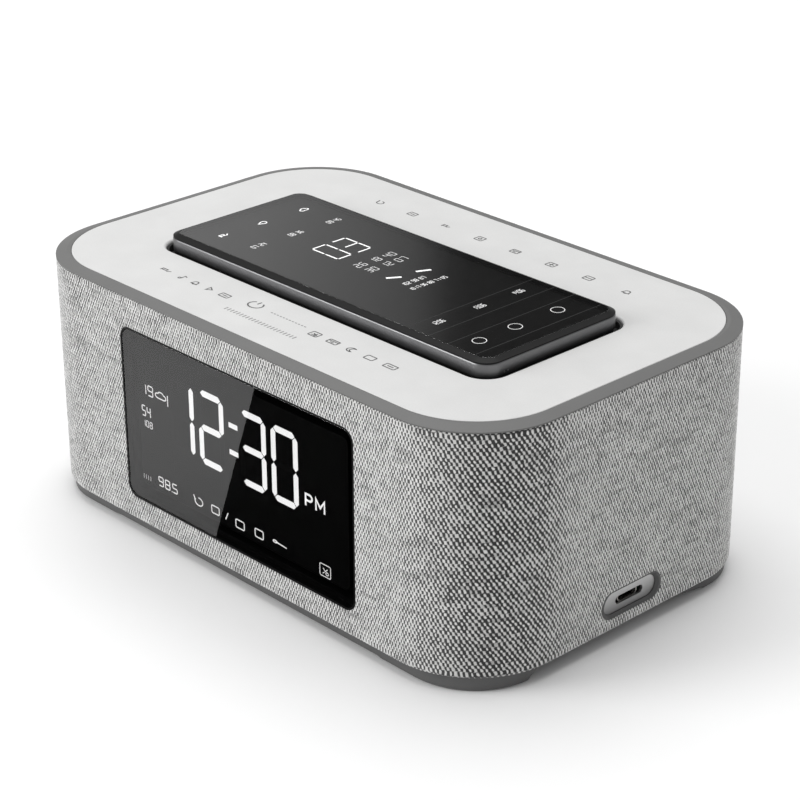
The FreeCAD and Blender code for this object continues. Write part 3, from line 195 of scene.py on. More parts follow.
def moulded(name, colour, roughness=0.5, grain=0.35, depth=0.012, gloss=0.5):
    """Spark-eroded plastic: a fine grain, and colour and gloss that wander a little."""
    finish = Finish(name)
    texture = finish.noise(grain, 3)
    wander = finish.noise(14, 2)
    tone = finish.ramp(wander, 0.94, 1.06)
    finish.principled(
        Base_Color=finish.shade(finish.mix(finish.ramp(texture, 0, 1), tuple(0.93 * c for c in colour),
                                           tuple(min(1, 1.07 * c) for c in colour)), tone),
        Roughness=finish.ramp(finish.noise(6, 2), roughness - 0.05, roughness + 0.05),
        Specular_IOR_Level=gloss, Normal=finish.bump(texture, depth))
    return finish.material


def rubber(name, colour):
    """Dull rubber with a fine pebbled skin."""
    finish = Finish(name)
    cells = finish.node("TexVoronoi", Scale=1 / 0.7)
    finish.feed(cells.inputs["Vector"], finish.millimetres())
    pebble = finish.math("POWER", cells.outputs["Distance"], 0.7)
    dust = finish.noise(5, 3)
    finish.principled(
        Base_Color=finish.mix(dust, colour, tuple(1.5 * c for c in colour)),
        Roughness=finish.ramp(dust, 0.62, 0.78), Specular_IOR_Level=0.35,
        Normal=finish.bump(finish.math("SUBTRACT", 1.0, pebble), 0.03))
    return finish.material


def metal(name, colour, roughness=0.3, brushed=None, shaded_lower_box=None):
    """Bare metal; brushed gives the stretch of its fine lines along X, Y and Z. A box given as the last
    argument paints shade into the colour, darker towards that box's bottom."""
    finish = Finish(name)
    stretch = brushed or (1, 1, 1)
    lines = finish.noise(0.25, 3, finish.stretched(*stretch))
    stain_and_shade = finish.ramp(finish.noise(8, 2), 0.9, 1.05)
    if shaded_lower_box:
        # painted shade: the colour runs from 0.4 at the box's bottom to 1.15 at its top
        height = finish.node("SeparateXYZ", Vector=finish.millimetres()).outputs[2]
        lower_edge_shade = finish.ramp(height, 0.4, 1.15, from_low=shaded_lower_box[0].z, from_high=shaded_lower_box[1].z)
        stain_and_shade = finish.math("MULTIPLY", stain_and_shade, lower_edge_shade)
    finish.principled(
        Base_Color=finish.shade(colour_socket(finish, colour), stain_and_shade), Metallic=1.0,
        Roughness=finish.ramp(lines, roughness - 0.07, roughness + 0.1),
        Normal=finish.bump(lines, 0.006 if brushed else 0.003))
    return finish.material


def colour_socket(finish, colour):
    made = finish.node("RGB")
    made.outputs[0].default_value = (*colour, 1)
    return made.outputs[0]


def circuit(name, colour):
    """Solder mask over copper: tracks show as a slightly lighter, raised pattern."""
    finish = Finish(name)
    bricks = finish.node("TexBrick", Scale=1.0, Mortar_Size=0.12, Brick_Width=3.2, Row_Height=1.4)
    finish.feed(bricks.inputs["Vector"], finish.millimetres())
    tracks = bricks.outputs["Fac"]
    finish.principled(
        Base_Color=finish.mix(tracks, colour, tuple(1.9 * c for c in colour)),
        Roughness=finish.ramp(finish.noise(3), 0.25, 0.4), Normal=finish.bump(tracks, 0.02))
    return finish.material


def paper_cone(name, colour):
    """Pressed paper: fibres."""
    finish = Finish(name)
    fibres = finish.noise(0.5, 5)
    finish.principled(
        Base_Color=finish.mix(fibres, colour, tuple(2.2 * c for c in colour)), Roughness=0.9,
        Normal=finish.bump(fibres, 0.05))
    return finish.material


def foam(name, colour):
    """Open foam or a stitched surround: soft pits."""
    finish = Finish(name)
    pits = finish.noise(0.45, 4)
    finish.principled(Base_Color=finish.mix(pits, colour, tuple(1.8 * c for c in colour)), Roughness=0.95,
                      Normal=finish.bump(pits, 0.12))
    return finish.material


def winding(name, colour):
    """Enamelled copper wire wound flat: fine rings about the well's middle, with the grooves between turns
    painted darker as shade.
    """
    finish = Finish(name)
    centre = finish.node("VectorMath", operation="SUBTRACT")
    finish.feed(centre.inputs[0], finish.millimetres())
    centre.inputs[1].default_value = (SLATE_MIDDLE.x, SLATE_MIDDLE.y, 0)
    flat = finish.stretched(1, 1, 0, centre.outputs[0])
    far = finish.node("VectorMath", operation="LENGTH")
    finish.feed(far.inputs[0], flat)
    turns = finish.math("SINE", finish.math("MULTIPLY", far.outputs["Value"], 2 * math.pi / 0.75))
    # painted shade: the colour drops to 0.6 of itself in the grooves between turns
    crest_and_groove_shade = finish.ramp(turns, 0, 1, from_low=-1)
    finish.principled(Base_Color=finish.mix(crest_and_groove_shade, tuple(0.6 * c for c in colour), colour),
                      Metallic=0.9, Roughness=0.32, Normal=finish.bump(turns, 0.08))
    return finish.material


def clear(name, tint, roughness, ior=1.5):
    """A glossy window: what is behind it shows through its tint, and its outer faces mirror the room."""
    finish = Finish(name)
    through = finish.node("BsdfTransparent", Color=tint)
    dust = finish.noise(9, 3)
    mirror = finish.node("BsdfGlossy", Roughness=finish.ramp(dust, roughness * 0.8, roughness * 1.3))
    mirror.inputs["Color"].default_value = (1, 1, 1, 1)
    outside = finish.math("SUBTRACT", 1.0, finish.node("NewGeometry").outputs["Backfacing"])
    share = finish.math("MULTIPLY", finish.node("Fresnel", IOR=ior).outputs[0], outside)
    mixed = finish.node("MixShader")
    for socket, given in zip(mixed.inputs, (share, through.outputs[0], mirror.outputs[0])):
        finish.feed(socket, given)
    finish.feed(finish.output.inputs["Surface"], mixed.outputs[0])
    return finish.material


def lit(name, strength, colour=(1, 1, 1)):
    """A translucent diffuser with a lamp behind it, its glow wandering a little at random."""
    finish = Finish(name)
    cloud = finish.ramp(finish.noise(2.5, 1), 0.94 * strength, 1.06 * strength)
    finish.principled(Base_Color=(0.8, 0.8, 0.8), Roughness=0.6, Emission_Color=colour,
                      Emission_Strength=cloud)
    return finish.material


def printed(name, colour):
    """Pad-printed ink, slightly uneven."""
    finish = Finish(name)
    cover = finish.noise(0.4, 3)
    finish.principled(Base_Color=finish.mix(cover, tuple(0.85 * c for c in colour),
                                            tuple(1.15 * c for c in colour)),
                      Roughness=0.55, Normal=finish.bump(cover, 0.01))
    return finish.material


LIGHT_YARN = (0.78, 0.775, 0.765)
DARK_YARN = (0.09, 0.09, 0.09)
# the dark yarn as it shows in the opened gaps of stretched cloth: partly its own colour, partly painted
# shade
GAP_YARN_AND_SHADE = (0.04, 0.04, 0.04)
FLAT_LEAN, CORNER_LEAN = 0.04, 0.24     # how far a nub leans over one row, in pairs of yarns
FLAT_EDGE, CORNER_EDGE = -0.06, 0.14     # where light yarn turns to dark: at the lowest in the gaps
EDGE_BLUR = 0.26


def woven(name):
    """A two-tone plain weave. Its UV map counts pairs of warp yarns and rows of weft. On the flats the dark
    yarn shows as dots between the light ones; where the cloth is pulled round a corner, its stretch
    attribute parts the light yarn into separate nubs."""
    finish = Finish(name)
    weave = finish.node("UVMap", uv_map="weave").outputs[0]
    across, down = finish.node("SeparateXYZ", Vector=weave).outputs[:2]
    stretch = finish.node("Attribute", attribute_name="stretch").outputs["Fac"]
    row = finish.math("FLOOR", down)
    within = finish.math("SUBTRACT", finish.math("SUBTRACT", down, row), 0.5)
    shifted = finish.math("ADD", across, finish.math("MULTIPLY", row, 0.5))
    lean = finish.math("MULTIPLY", within, finish.ramp(stretch, FLAT_LEAN, CORNER_LEAN))
    wobble = finish.node("TexNoise", noise_dimensions="2D", Scale=0.9, Vector=finish.node(
        "CombineXYZ", X=shifted, Y=finish.math("MULTIPLY", row, 7.3)).outputs[0]).outputs["Fac"]
    leaning = finish.math("ADD", finish.math("ADD", shifted, lean), finish.ramp(wobble, -0.22, 0.22))
    wave = finish.math("COSINE", finish.math("MULTIPLY", leaning, 2 * math.pi))
    crown = finish.math("COSINE", finish.math("MULTIPLY", within, math.pi))
    plump = finish.math("MULTIPLY", wave, crown)
    # each nub of yarn has its own shade, each weft row too, and the fibres run along the weft
    key = finish.node("CombineXYZ", X=finish.math("FLOOR", finish.math("ADD", leaning, 0.5)), Y=row)
    nub = finish.node("TexWhiteNoise", noise_dimensions="2D", Vector=key.outputs[0]).outputs["Value"]
    streaks = []
    for along, apart in ((0.16, 3.7), (0.11, 1.9)):
        run = finish.node("CombineXYZ", X=finish.math("MULTIPLY", across, along),
                          Y=finish.math("MULTIPLY", row, apart))
        noise = finish.node("TexNoise", noise_dimensions="2D", Scale=1.0, Vector=run.outputs[0])
        streaks.append(noise.outputs["Fac"])
    streak, slub = streaks[0], finish.ramp(streaks[1], 1.0, 0.72, smooth=True, from_low=0.6, from_high=0.72)
    fibre = finish.node("CombineXYZ", X=finish.math("MULTIPLY", leaning, 2.5),
                        Y=finish.math("MULTIPLY", down, 9))
    hair = finish.node("TexNoise", noise_dimensions="2D", Scale=1.0, Detail=3.0, Vector=fibre.outputs[0])
    hair = hair.outputs["Fac"]
    # a loose or a fat nub moves the edge between light and dark
    loose = finish.math("ADD", finish.ramp(nub, -0.22, 0.22), finish.ramp(streak, 0.18, -0.18))
    edge = finish.math("ADD", finish.ramp(stretch, FLAT_EDGE, CORNER_EDGE), loose)
    mask = finish.ramp(plump, 0, 1, smooth=True, from_low=finish.math("SUBTRACT", edge, EDGE_BLUR),
                       from_high=finish.math("ADD", edge, EDGE_BLUR))
    light = finish.math("MULTIPLY", finish.ramp(nub, 0.86, 1.05), finish.ramp(streak, 0.88, 1.12))
    light = finish.math("MULTIPLY", finish.math("MULTIPLY", light, slub), finish.ramp(hair, 0.84, 1.14))
    yarn = finish.shade(colour_socket(finish, LIGHT_YARN), light)
    # where the cloth is stretched, the dark yarn is painted darker still, as shade in the opened gaps
    dark_yarn_and_gap_shade = finish.mix(stretch, DARK_YARN, GAP_YARN_AND_SHADE)
    dark_yarn_and_gap_shade = finish.shade(dark_yarn_and_gap_shade, finish.ramp(hair, 0.6, 1.4))
    height = finish.math("ADD", mask, finish.math("MULTIPLY", hair, 0.35))
    finish.principled(Base_Color=finish.mix(mask, dark_yarn_and_gap_shade, yarn), Roughness=0.92, Specular_IOR_Level=0.25,
                      Sheen_Weight=0.85, Sheen_Roughness=0.4, Normal=finish.bump(height, 0.14))
    return finish.material


MAKERS = {
    "shell_plastic": lambda name: moulded(name, (0.04, 0.04, 0.042), 0.55),
    "base_grey": lambda name: moulded(name, (0.11, 0.11, 0.11), 0.5, gloss=0.4),
    "rubber_black": lambda name: rubber(name, (0.02, 0.02, 0.02)),
    "screw_steel": lambda name: metal(name, (0.5, 0.5, 0.52), 0.35),
    "rim_grey": lambda name: moulded(name, (0.152, 0.152, 0.15), 0.55, gloss=0.3),
    "plate_white": lambda name: moulded(name, (0.65, 0.65, 0.645), 0.42, 0.5, 0.006, 0.4),
    "liner_rubber": lambda name: rubber(name, (0.018, 0.018, 0.018)),
    "frame_black": lambda name: moulded(name, (0.008, 0.008, 0.008), 0.45, gloss=0.15),
    "lens_smoked": lambda name: clear(name, (0.72, 0.72, 0.72), 0.012),
    "reflector_black": lambda name: moulded(name, (0.006, 0.006, 0.006), 0.7, gloss=0.1),
    "segment_lit": lambda name: lit(name, 1.35),
    "segment_dark": lambda name: moulded(name, (0.008, 0.008, 0.008), 0.6, gloss=0.1),
    "circuit_board": lambda name: circuit(name, (0.01, 0.07, 0.03)),
    "chip_black": lambda name: moulded(name, (0.02, 0.02, 0.02), 0.4),
    "cup_grey": lambda name: moulded(name, (0.07, 0.07, 0.07), 0.45),
    # the port plate's colour is painted darker towards its lower edge, as shade
    "port_metal": lambda name: metal(name, (0.55, 0.55, 0.55), 0.5, (1, 0.06, 1), PORT_PLATE),
    "nickel": lambda name: metal(name, (0.6, 0.58, 0.55), 0.25),
    "foam_black": lambda name: foam(name, (0.02, 0.02, 0.02)),
    "basket_steel": lambda name: metal(name, (0.12, 0.12, 0.12), 0.5),
    "ferrite_grey": lambda name: moulded(name, (0.05, 0.05, 0.052), 0.6),
    "yoke_steel": lambda name: metal(name, (0.45, 0.45, 0.4), 0.4),
    "cone_paper": lambda name: paper_cone(name, (0.03, 0.03, 0.03)),
    "copper": lambda name: winding(name, (0.72, 0.33, 0.14)),
    "bracket_plastic": lambda name: moulded(name, (0.06, 0.06, 0.06), 0.5),
    "can_aluminium": lambda name: metal(name, (0.7, 0.7, 0.7), 0.3),
    "tin_plate": lambda name: metal(name, (0.6, 0.6, 0.58), 0.3),
    "socket_cream": lambda name: moulded(name, (0.6, 0.55, 0.42), 0.45),
    "wire_sleeve": lambda name: moulded(name, (0.25, 0.02, 0.02), 0.4),
    "ribbon_grey": lambda name: moulded(name, (0.4, 0.4, 0.4), 0.4),
    "cell_steel": lambda name: metal(name, (0.65, 0.65, 0.63), 0.25, (1, 0.1, 1)),
    "contact_brass": lambda name: metal(name, (0.7, 0.52, 0.22), 0.3),
    "slate_black": lambda name: moulded(name, (0.012, 0.012, 0.012), 0.35, gloss=0.12),
    "slate_metal": lambda name: metal(name, (0.22, 0.22, 0.225), 0.34, (0.08, 0.08, 1)),
    "slate_glass": lambda name: clear(name, (0.9, 0.9, 0.9), 0.03),
    "panel_black": lambda name: moulded(name, (0.004, 0.004, 0.004), 0.5, gloss=0.1),
    "pouch_foil": lambda name: metal(name, (0.55, 0.55, 0.55), 0.35),
}
SLOT_OF = {row["node"]: row["material_slot"] for row in frame["record"]["subparts"]}


def paint_nodes():
    """Give every CAD node the material of its slot in the record."""
    made = {}
    for node, slot in SLOT_OF.items():
        if slot not in MAKERS:
            continue
        if slot not in made:
            made[slot] = MAKERS[slot](slot)
        shown = nodes[node]
        shown.data.materials.clear()
        shown.data.materials.append(made[slot])
    return made


# ---------------------------------------------------------------- mesh helpers

def make_piece(name, points, faces, material, body, crease=30):
    """A mesh in millimetres that rides on a CAD body."""
    mesh = bpy.data.meshes.new(name)
    mesh.from_pydata([tuple(c * MM for c in point) for point in points], [], faces)
    mesh.materials.append(material)
    mesh.shade_smooth()
    mesh.set_sharp_from_angle(angle=math.radians(crease))
    piece = bpy.data.objects.new(name, mesh)
    bpy.context.scene.collection.objects.link(piece)
    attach(piece, body)
    return piece


class Outline:
    """The cabinet's plan outline, walked anticlockwise from the middle of the back."""

    def __init__(self, low, high, radius):
        self.half_x, self.half_y, self.radius = (high.x - low.x) / 2, (high.y - low.y) / 2, radius
        a, b = self.half_x - radius, self.half_y - radius
        quarter = math.pi * radius / 2
        # each run: its length, the heading of its normal at its start, and where it starts or turns
        self.runs = [(a, 90, (0, self.half_y)), (quarter, 90, (-a, b)), (2 * b, 180, (-self.half_x, b)),
                     (quarter, 180, (-a, -b)), (2 * a, 270, (-a, -self.half_y)), (quarter, 270, (a, -b)),
                     (2 * b, 0, (self.half_x, -b)), (quarter, 0, (a, b)), (a, 90, (a, self.half_y))]
        self.length = sum(run[0] for run in self.runs)
        starts = np.cumsum([0] + [run[0] for run in self.runs])
        self.corners = [(starts[index], quarter) for index in (1, 3, 5, 7)]

    def at(self, distance):
        """Points and outward normals at distances along the outline."""
        distance = np.asarray(distance, float)
        points, normals = np.zeros((len(distance), 2)), np.zeros((len(distance), 2))
        start = 0.0
        for index, (length, heading, origin) in enumerate(self.runs):
            here = (distance >= start - 1e-9) & (distance <= start + length + 1e-9)
            along = distance[here] - start
            turning = index % 2 == 1
            angle = np.radians(heading) + (along / self.radius if turning else 0 * along)
            normal = np.stack([np.cos(angle), np.sin(angle)], 1)
            normals[here] = normal
            if turning:
                points[here] = np.array(origin) + self.radius * normal
            else:
                points[here] = np.array(origin) + along[:, None] * np.stack([-normal[:, 1], normal[:, 0]], 1)
            start += length
        return points, normals


# ---------------------------------------------------------------- the woven wrap

ROW_PITCH = 1.22                         # from one weft row to the next
FLAT_PITCH, CORNER_PITCH = 1.25, 1.75    # a pair of warp yarns, on the flats and where it's stretched most
COLUMNS = 3                              # points to each pair of warp yarns
# the stretch of each corner in the order of the walk, back left first: the cloth is pulled hardest round
# the front right corner, most of all past its middle
STRETCH = (0.3, 0.2, 1.0, 0.3)
EASE_BEFORE, EASE_AFTER = 34, 15         # the stretch grows and fades over these lengths
FLAT_RELIEF, CORNER_RELIEF = 0.2, 0.34   # from the top of a nub to the bottom of a gap
ROLL = 0.45                              # the cloth turns in at its top and bottom edges
HEM = 0.8                                # and is folded in this deep around the display and the port
SEAM_DEPTH, SEAM_REACH = 0.4, 0.5        # the join at the middle of the back
YARN_DRIFT, YARN_WAVE = 0.11, 19         # sideways wander of a weft row, in pairs of yarns, and its length
ROW_DRIFT, ROW_WAVE = 0.2, 31            # up and down wander, in rows, and its length
DRIFT_SEED = 7


def stretch_at(outline, distance):
    """How far the cloth is stretched, from 0 to 1, at distances along the outline."""
    pulled = np.zeros(len(distance))
    for share, (start, length) in zip(STRETCH, outline.corners):
        before, after = start + 0.6 * length - distance, distance - start - 0.92 * length
        near = 1 - np.clip(np.maximum(before / EASE_BEFORE, after / EASE_AFTER), 0, 1)
        pulled = np.maximum(pulled, share * near * near * (3 - 2 * near))
    return pulled


def drift(along, row, length, wave, draw):
    """A smooth wander along each weft row that joins up after one turn of the outline."""
    turns = np.maximum(1, np.round(length / np.array([wave, wave / 2.3, wave / 5.1])))
    row = row.astype(int) - row.astype(int).min()
    phases = draw.uniform(0, 2 * math.pi, (row.max() + 1, 3))
    waves = np.sin(2 * math.pi * along[:, None] / length * turns + phases[row])
    return (waves * (0.5, 0.35, 0.35)).sum(1)


def around_opening(across, up, half_across, half_up, radius):
    """Signed distance to a rounded opening, and the way out of it."""
    q = np.stack([np.abs(across) - (half_across - radius), np.abs(up) - (half_up - radius)], 1)
    outer = np.maximum(q, 0)
    reach = np.linalg.norm(outer, axis=1)
    distance = reach + np.minimum(q.max(1), 0) - radius
    way = np.where((reach > 1e-9)[:, None], outer / np.maximum(reach, 1e-9)[:, None],
                   np.stack([q[:, 0] >= q[:, 1], q[:, 0] < q[:, 1]], 1).astype(float))
    return distance, way * np.stack([np.where(across < 0, -1, 1), np.where(up < 0, -1, 1)], 1)


def make_wrap(material):
    """The wrap as one mesh: three points to each pair of warp yarns and one to each weft row."""
    low, high = SLEEVE
    outline = Outline(low, high, CORNER_RADIUS)
    fine = np.linspace(0, outline.length, 6001)
    pitch = FLAT_PITCH + (CORNER_PITCH - FLAT_PITCH) * stretch_at(outline, fine)
    count = np.concatenate([[0], np.cumsum(np.diff(fine) * (1 / pitch[1:] + 1 / pitch[:-1]) / 2)])
    pairs = round(count[-1])
    columns = COLUMNS * pairs
    pair_at = (np.arange(columns) + 0.5) / COLUMNS
    along = np.interp(pair_at, count * pairs / count[-1], fine)

    rows = int((high.z - low.z - 2 * ROLL) / ROW_PITCH)
    first = (high.z + low.z - rows * ROW_PITCH) / 2
    levels = [(first + (index + 0.5) * ROW_PITCH, index + 0.5, 0.0) for index in range(rows)]
    turns = (0.3, 1.0, math.pi / 2)
    for turn in turns:
        sunk, rise = ROLL * (1 - math.cos(turn)), ROLL * math.sin(turn)
        levels.append((high.z - ROLL + rise, rows + (ROLL * turn) / ROW_PITCH, sunk))
        levels.insert(0, (low.z + ROLL - rise, -(ROLL * turn) / ROW_PITCH, sunk))
    z, weft, sunk = (np.array(column) for column in zip(*levels))

    s = np.tile(along, len(z))
    u = np.tile(pair_at, len(z))
    height, v, roll = np.repeat(z, columns), np.repeat(weft, columns), np.repeat(sunk, columns)
    cells = np.arange(len(z) * columns).reshape(len(z), columns)
    ahead = np.roll(cells, -1, axis=1)
    faces = np.stack([cells[:-1], ahead[:-1], ahead[1:], cells[1:]], -1).reshape(-1, 4)

    openings = []
    for box, base, (past, above), radius in ((LENS, outline.length / 2, FRAME_EDGE, FRAME_RADIUS),
                                             (PORT_PLATE, outline.length * 0.75, PORT_EDGE, PORT_RADIUS)):
        middle, half = (box[0] + box[1]) / 2, (box[1] - box[0]) / 2
        east, half_across = (middle.x, half.x) if box is LENS else (middle.y, half.y)
        openings.append((base + east, middle.z, half_across + past, half.z + above, radius))
    hemmed = np.zeros(len(s), bool)
    for east, level, half_across, half_up, radius in openings:
        distance, way = around_opening(s - east, height - level, half_across, half_up, radius)
        faces = faces[~(distance[faces] < 1e-6).all(1)]
        used = np.zeros(len(s), bool)
        used[faces] = True
        moved = used & (distance < 1e-6)
        s[moved] -= distance[moved] * way[moved, 0]
        height[moved] -= distance[moved] * way[moved, 1]
        hemmed |= moved
    u = np.interp(s, fine, count * pairs / count[-1])
    v = np.where(roll > 0, v, (height - first) / ROW_PITCH)
    draw = np.random.default_rng(DRIFT_SEED)
    u += YARN_DRIFT * drift(s, np.floor(v), outline.length, YARN_WAVE, draw)
    v += ROW_DRIFT * drift(s, np.floor(v), outline.length, ROW_WAVE, draw)

    stretch = stretch_at(outline, s)
    relief = FLAT_RELIEF + (CORNER_RELIEF - FLAT_RELIEF) * stretch
    weft_row = np.floor(v)
    wave = np.cos(2 * math.pi * (u + 0.5 * weft_row)) * np.cos(math.pi * (v - weft_row - 0.5))
    inset = relief * (0.5 - 0.5 * wave) + roll
    inset[hemmed] = relief[hemmed]
    from_seam = np.minimum(s, outline.length - s)
    inset += SEAM_DEPTH * np.exp(-(from_seam / SEAM_REACH) ** 2)
    flat, normal = outline.at(s)
    points = np.concatenate([flat - normal * inset[:, None], height[:, None]], 1)

    used = np.unique(faces)
    renumber = np.full(len(s), -1)
    renumber[used] = np.arange(len(used))
    wrap = make_piece("fabric_wrap", points[used].tolist(), renumber[faces].tolist(), material, "cabinet",
                      crease=180)
    mesh = wrap.data
    mesh.attributes.new("stretch", "FLOAT", "POINT").data.foreach_set("value", stretch[used])
    corner = np.zeros(len(mesh.loops), int)
    mesh.loops.foreach_get("vertex_index", corner)
    uv = np.stack([u[used][corner], v[used][corner]], 1)
    quads = uv.reshape(-1, 4, 2)
    crossing = np.ptp(quads[:, :, 0], axis=1) > pairs / 2
    quads[crossing, :, 0] += np.where(quads[crossing, :, 0] < pairs / 2, pairs, 0)
    mesh.uv_layers.new(name="weave").data.foreach_set("uv", quads.ravel())
    fold_hems(wrap, set(renumber[np.flatnonzero(hemmed & (renumber >= 0))].tolist()))
    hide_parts("fabric_sleeve")
    return wrap


def fold_hems(wrap, hemmed):
    """Fold the cloth straight in at the openings' edges."""
    work = bmesh.new()
    work.from_mesh(wrap.data)
    work.verts.ensure_lookup_table()
    edges = [e for e in work.edges if e.is_boundary and all(v.index in hemmed for v in e.verts)]
    folded = bmesh.ops.extrude_edge_only(work, edges=edges)["geom"]
    for item in folded:
        if isinstance(item, bmesh.types.BMVert):
            on_front = item.co.y < REFLECTOR[1].y * MM
            towards = Vector((0, 1, 0)) if on_front else Vector((-1, 0, 0))
            item.co += towards * HEM * MM
    work.to_mesh(wrap.data)
    work.free()
    wrap.data.shade_smooth()


# ---------------------------------------------------------------- thin marks

def arc(x, y, radius, start, end, steps=18):
    """Points along a circle, in degrees."""
    return [(x + radius * math.cos(math.radians(a)), y + radius * math.sin(math.radians(a)))
            for a in np.linspace(start, end, steps + 1)]


def rounded(half_x, half_y, radius):
    """A closed rounded rectangle about the origin."""
    points = []
    for x, y, start in ((1, -1, -90), (1, 1, 0), (-1, 1, 90), (-1, -1, 180)):
        points += arc(x * (half_x - radius), y * (half_y - radius), radius, start, start + 90, 4)
    return points


# each icon fits a square from -1 to 1 and is a list of (points, whether they close)
ICONS = {
    "ring": [(arc(0, 0, 1, 0, 360, 24)[:-1], True)],
    "power": [(arc(0, 0, 0.9, 125, 415), False), ([(0, 0.25), (0, 1)], False)],
    "square": [(rounded(1, 0.85, 0.3), True)],
    "screen": [(rounded(1, 0.8, 0.2), True), ([(-0.55, 0), (0.55, 0)], False)],
    "sleeve": [(rounded(1, 0.8, 0.2), True), ([(-1, 0.25), (1, 0.25)], False),
               ([(-0.4, -0.3), (0.3, -0.3)], False)],
    "target": [(rounded(0.95, 0.95, 0.2), True), (arc(0, 0, 0.35, 0, 360, 12)[:-1], True)],
    "moon": [(arc(0, 0, 0.95, 60, 300) + arc(0.55, 0, 0.83, 262, 98), True)],
    "bell": [([(-0.95, -0.6), (0.95, -0.6)], False), (arc(0, 0.1, 0.62, 0, 180) + [(-0.75, -0.6)], False),
             ([(0.62, 0.1), (0.75, -0.6)], False), (arc(0, -0.6, 0.25, 180, 360, 6), False)],
    "play": [([(-0.6, -0.8), (0.8, 0), (-0.6, 0.8)], True)],
    "minus": [([(-0.8, 0), (0.8, 0)], False), (rounded(1, 0.9, 0.25), True)],
    "plus": [([(-0.6, 0), (0.6, 0)], False), ([(0, -0.6), (0, 0.6)], False), (rounded(1, 0.9, 0.25), True)],
    "note": [(arc(-0.4, -0.6, 0.32, 0, 360, 10)[:-1], True),
             ([(-0.08, -0.6), (-0.08, 0.9), (0.6, 0.6)], False)],
    "loop": [(arc(0.15, -0.1, 0.8, 95, -205), False), ([(-0.9, 0.9), (-0.62, 0.1)], False)],
    "slash": [([(-0.45, -0.8), (0.45, 0.8)], False)],
    "key": [(arc(-0.7, 0.15, 0.28, 0, 360, 10)[:-1], True), ([(-0.42, 0.1), (1, -0.15)], False)],
    "grid": [(rounded(1, 1, 0.25), True), ([(-0.4, 0.35), (0, -0.1), (0.45, 0.4)], False),
             (arc(0.35, -0.4, 0.25, 0, 360, 8)[:-1], True), ([(-0.5, -0.55), (-0.15, -0.3)], False)],
    "cloud": [(arc(-0.45, -0.1, 0.45, 90, 270, 8) + arc(0.5, -0.1, 0.45, -90, 80, 8)
               + arc(0.05, 0.2, 0.5, 20, 165, 8), True)],
    "drop": [([(-1, 0)] + arc(0.2, 0, 0.6, 130, -130, 12), True)],
    "flag": [([(-0.9, -0.5), (-0.9, 0.5), (0.1, 0.5), (0.1, -0.1), (-0.9, -0.1)], False),
             ([(0.3, -0.4), (0.9, 0.3)], False)],
}

# the strokes of a seven-segment figure, in a box from 0 to 1 both ways
BARS = {"a": ((0, 1), (1, 1)), "b": ((1, 1), (1, 0.5)), "c": ((1, 0.5), (1, 0)), "d": ((0, 0), (1, 0)),
        "e": ((0, 0.5), (0, 0)), "f": ((0, 1), (0, 0.5)), "g": ((0, 0.5), (1, 0.5))}
FIGURES = {"0": "abcdef", "1": "bc", "2": "abged", "3": "abgcd", "4": "fgbc", "5": "afgcd", "6": "afgedc",
           "7": "abc", "8": "abcdefg", "9": "abfgcd"}


def shifted(strokes, x, y, size, rise):
    """Strokes scaled and moved; size is half the width and rise half the height."""
    return [([(x + size * a, y + rise * b) for a, b in points], closed) for points, closed in strokes]


def figures(text, x, y, height, width, gap):
    """A row of plain figures from the left end x, standing on y. A point is a short dash."""
    trim = 0.06
    strokes = []
    for mark in text:
        if mark in FIGURES:
            for name in FIGURES[mark]:
                (x0, y0), (x1, y1) = BARS[name]
                ends = [(x + width * (x0 + trim * (x1 - x0)), y + height * (y0 + trim * (y1 - y0))),
                        (x + width * (x1 - trim * (x1 - x0)), y + height * (y1 - trim * (y1 - y0)))]
                strokes.append((ends, False))
            x += width + gap
        elif mark == ".":
            strokes.append(([(x - 0.08 * height, y), (x + 0.04 * height, y)], False))
            x += 0.3 * gap
        else:
            x += width
    return strokes


def ribbon(points, closed, width):
    """Left and right edges of a stroke, with mitred joints."""
    line = np.array(points, float)
    if closed:
        before, after = np.roll(line, 1, 0), np.roll(line, -1, 0)
    else:
        before = np.concatenate([[2 * line[0] - line[1]], line[:-1]])
        after = np.concatenate([line[1:], [2 * line[-1] - line[-2]]])
    inward, outward = line - before, after - line
    inward /= np.linalg.norm(inward, axis=1)[:, None]
    outward /= np.linalg.norm(outward, axis=1)[:, None]
    across = np.stack([-(inward + outward)[:, 1], (inward + outward)[:, 0]], 1)
    across /= np.maximum(np.linalg.norm(across, axis=1), 1e-6)[:, None]
    lean = np.maximum((across * np.stack([-inward[:, 1], inward[:, 0]], 1)).sum(1), 0.45)
    offset = across * (width / 2 / lean)[:, None]
    return line + offset, line - offset


def make_marks(name, strokes, width, place, thick, material, body):
    """Thin closed ribbons along strokes; place turns (across, up, out) into a point in the frame."""
    points, faces = [], []
    for line, closed in strokes:
        left, right = ribbon(line, closed, width)
        start, number = len(points), len(left)
        for level in (0, thick):
            points += [place(x, y, level) for x, y in left] + [place(x, y, level) for x, y in right]
        low_left, low_right = start, start + number
        top_left, top_right = start + 2 * number, start + 3 * number
        for index in range(number if closed else number - 1):
            after = (index + 1) % number
            faces += [(top_right + index, top_right + after, top_left + after, top_left + index),
                      (low_left + index, low_left + after, low_right + after, low_right + index),
                      (low_right + index, low_right + after, top_right + after, top_right + index),
                      (top_left + index, top_left + after, low_left + after, low_left + index)]
        if not closed:
            last = number - 1
            faces += [(low_left, low_right, top_right, top_left),
                      (low_right + last, low_left + last, top_left + last, top_right + last)]
    return make_piece(name, points, faces, material, body)


def on_plate(x, y, out):
    """The top plate, read from the front."""
    return (x, y, PLATE[1].z + out)


def on_display(x, y, out):
    """The face of the display's light block, a hair in front of it; (0, 0) is the display's middle."""
    return (DISPLAY_MIDDLE.x + x, REFLECTOR[0].y - 0.03 - out, DISPLAY_MIDDLE.z + y)


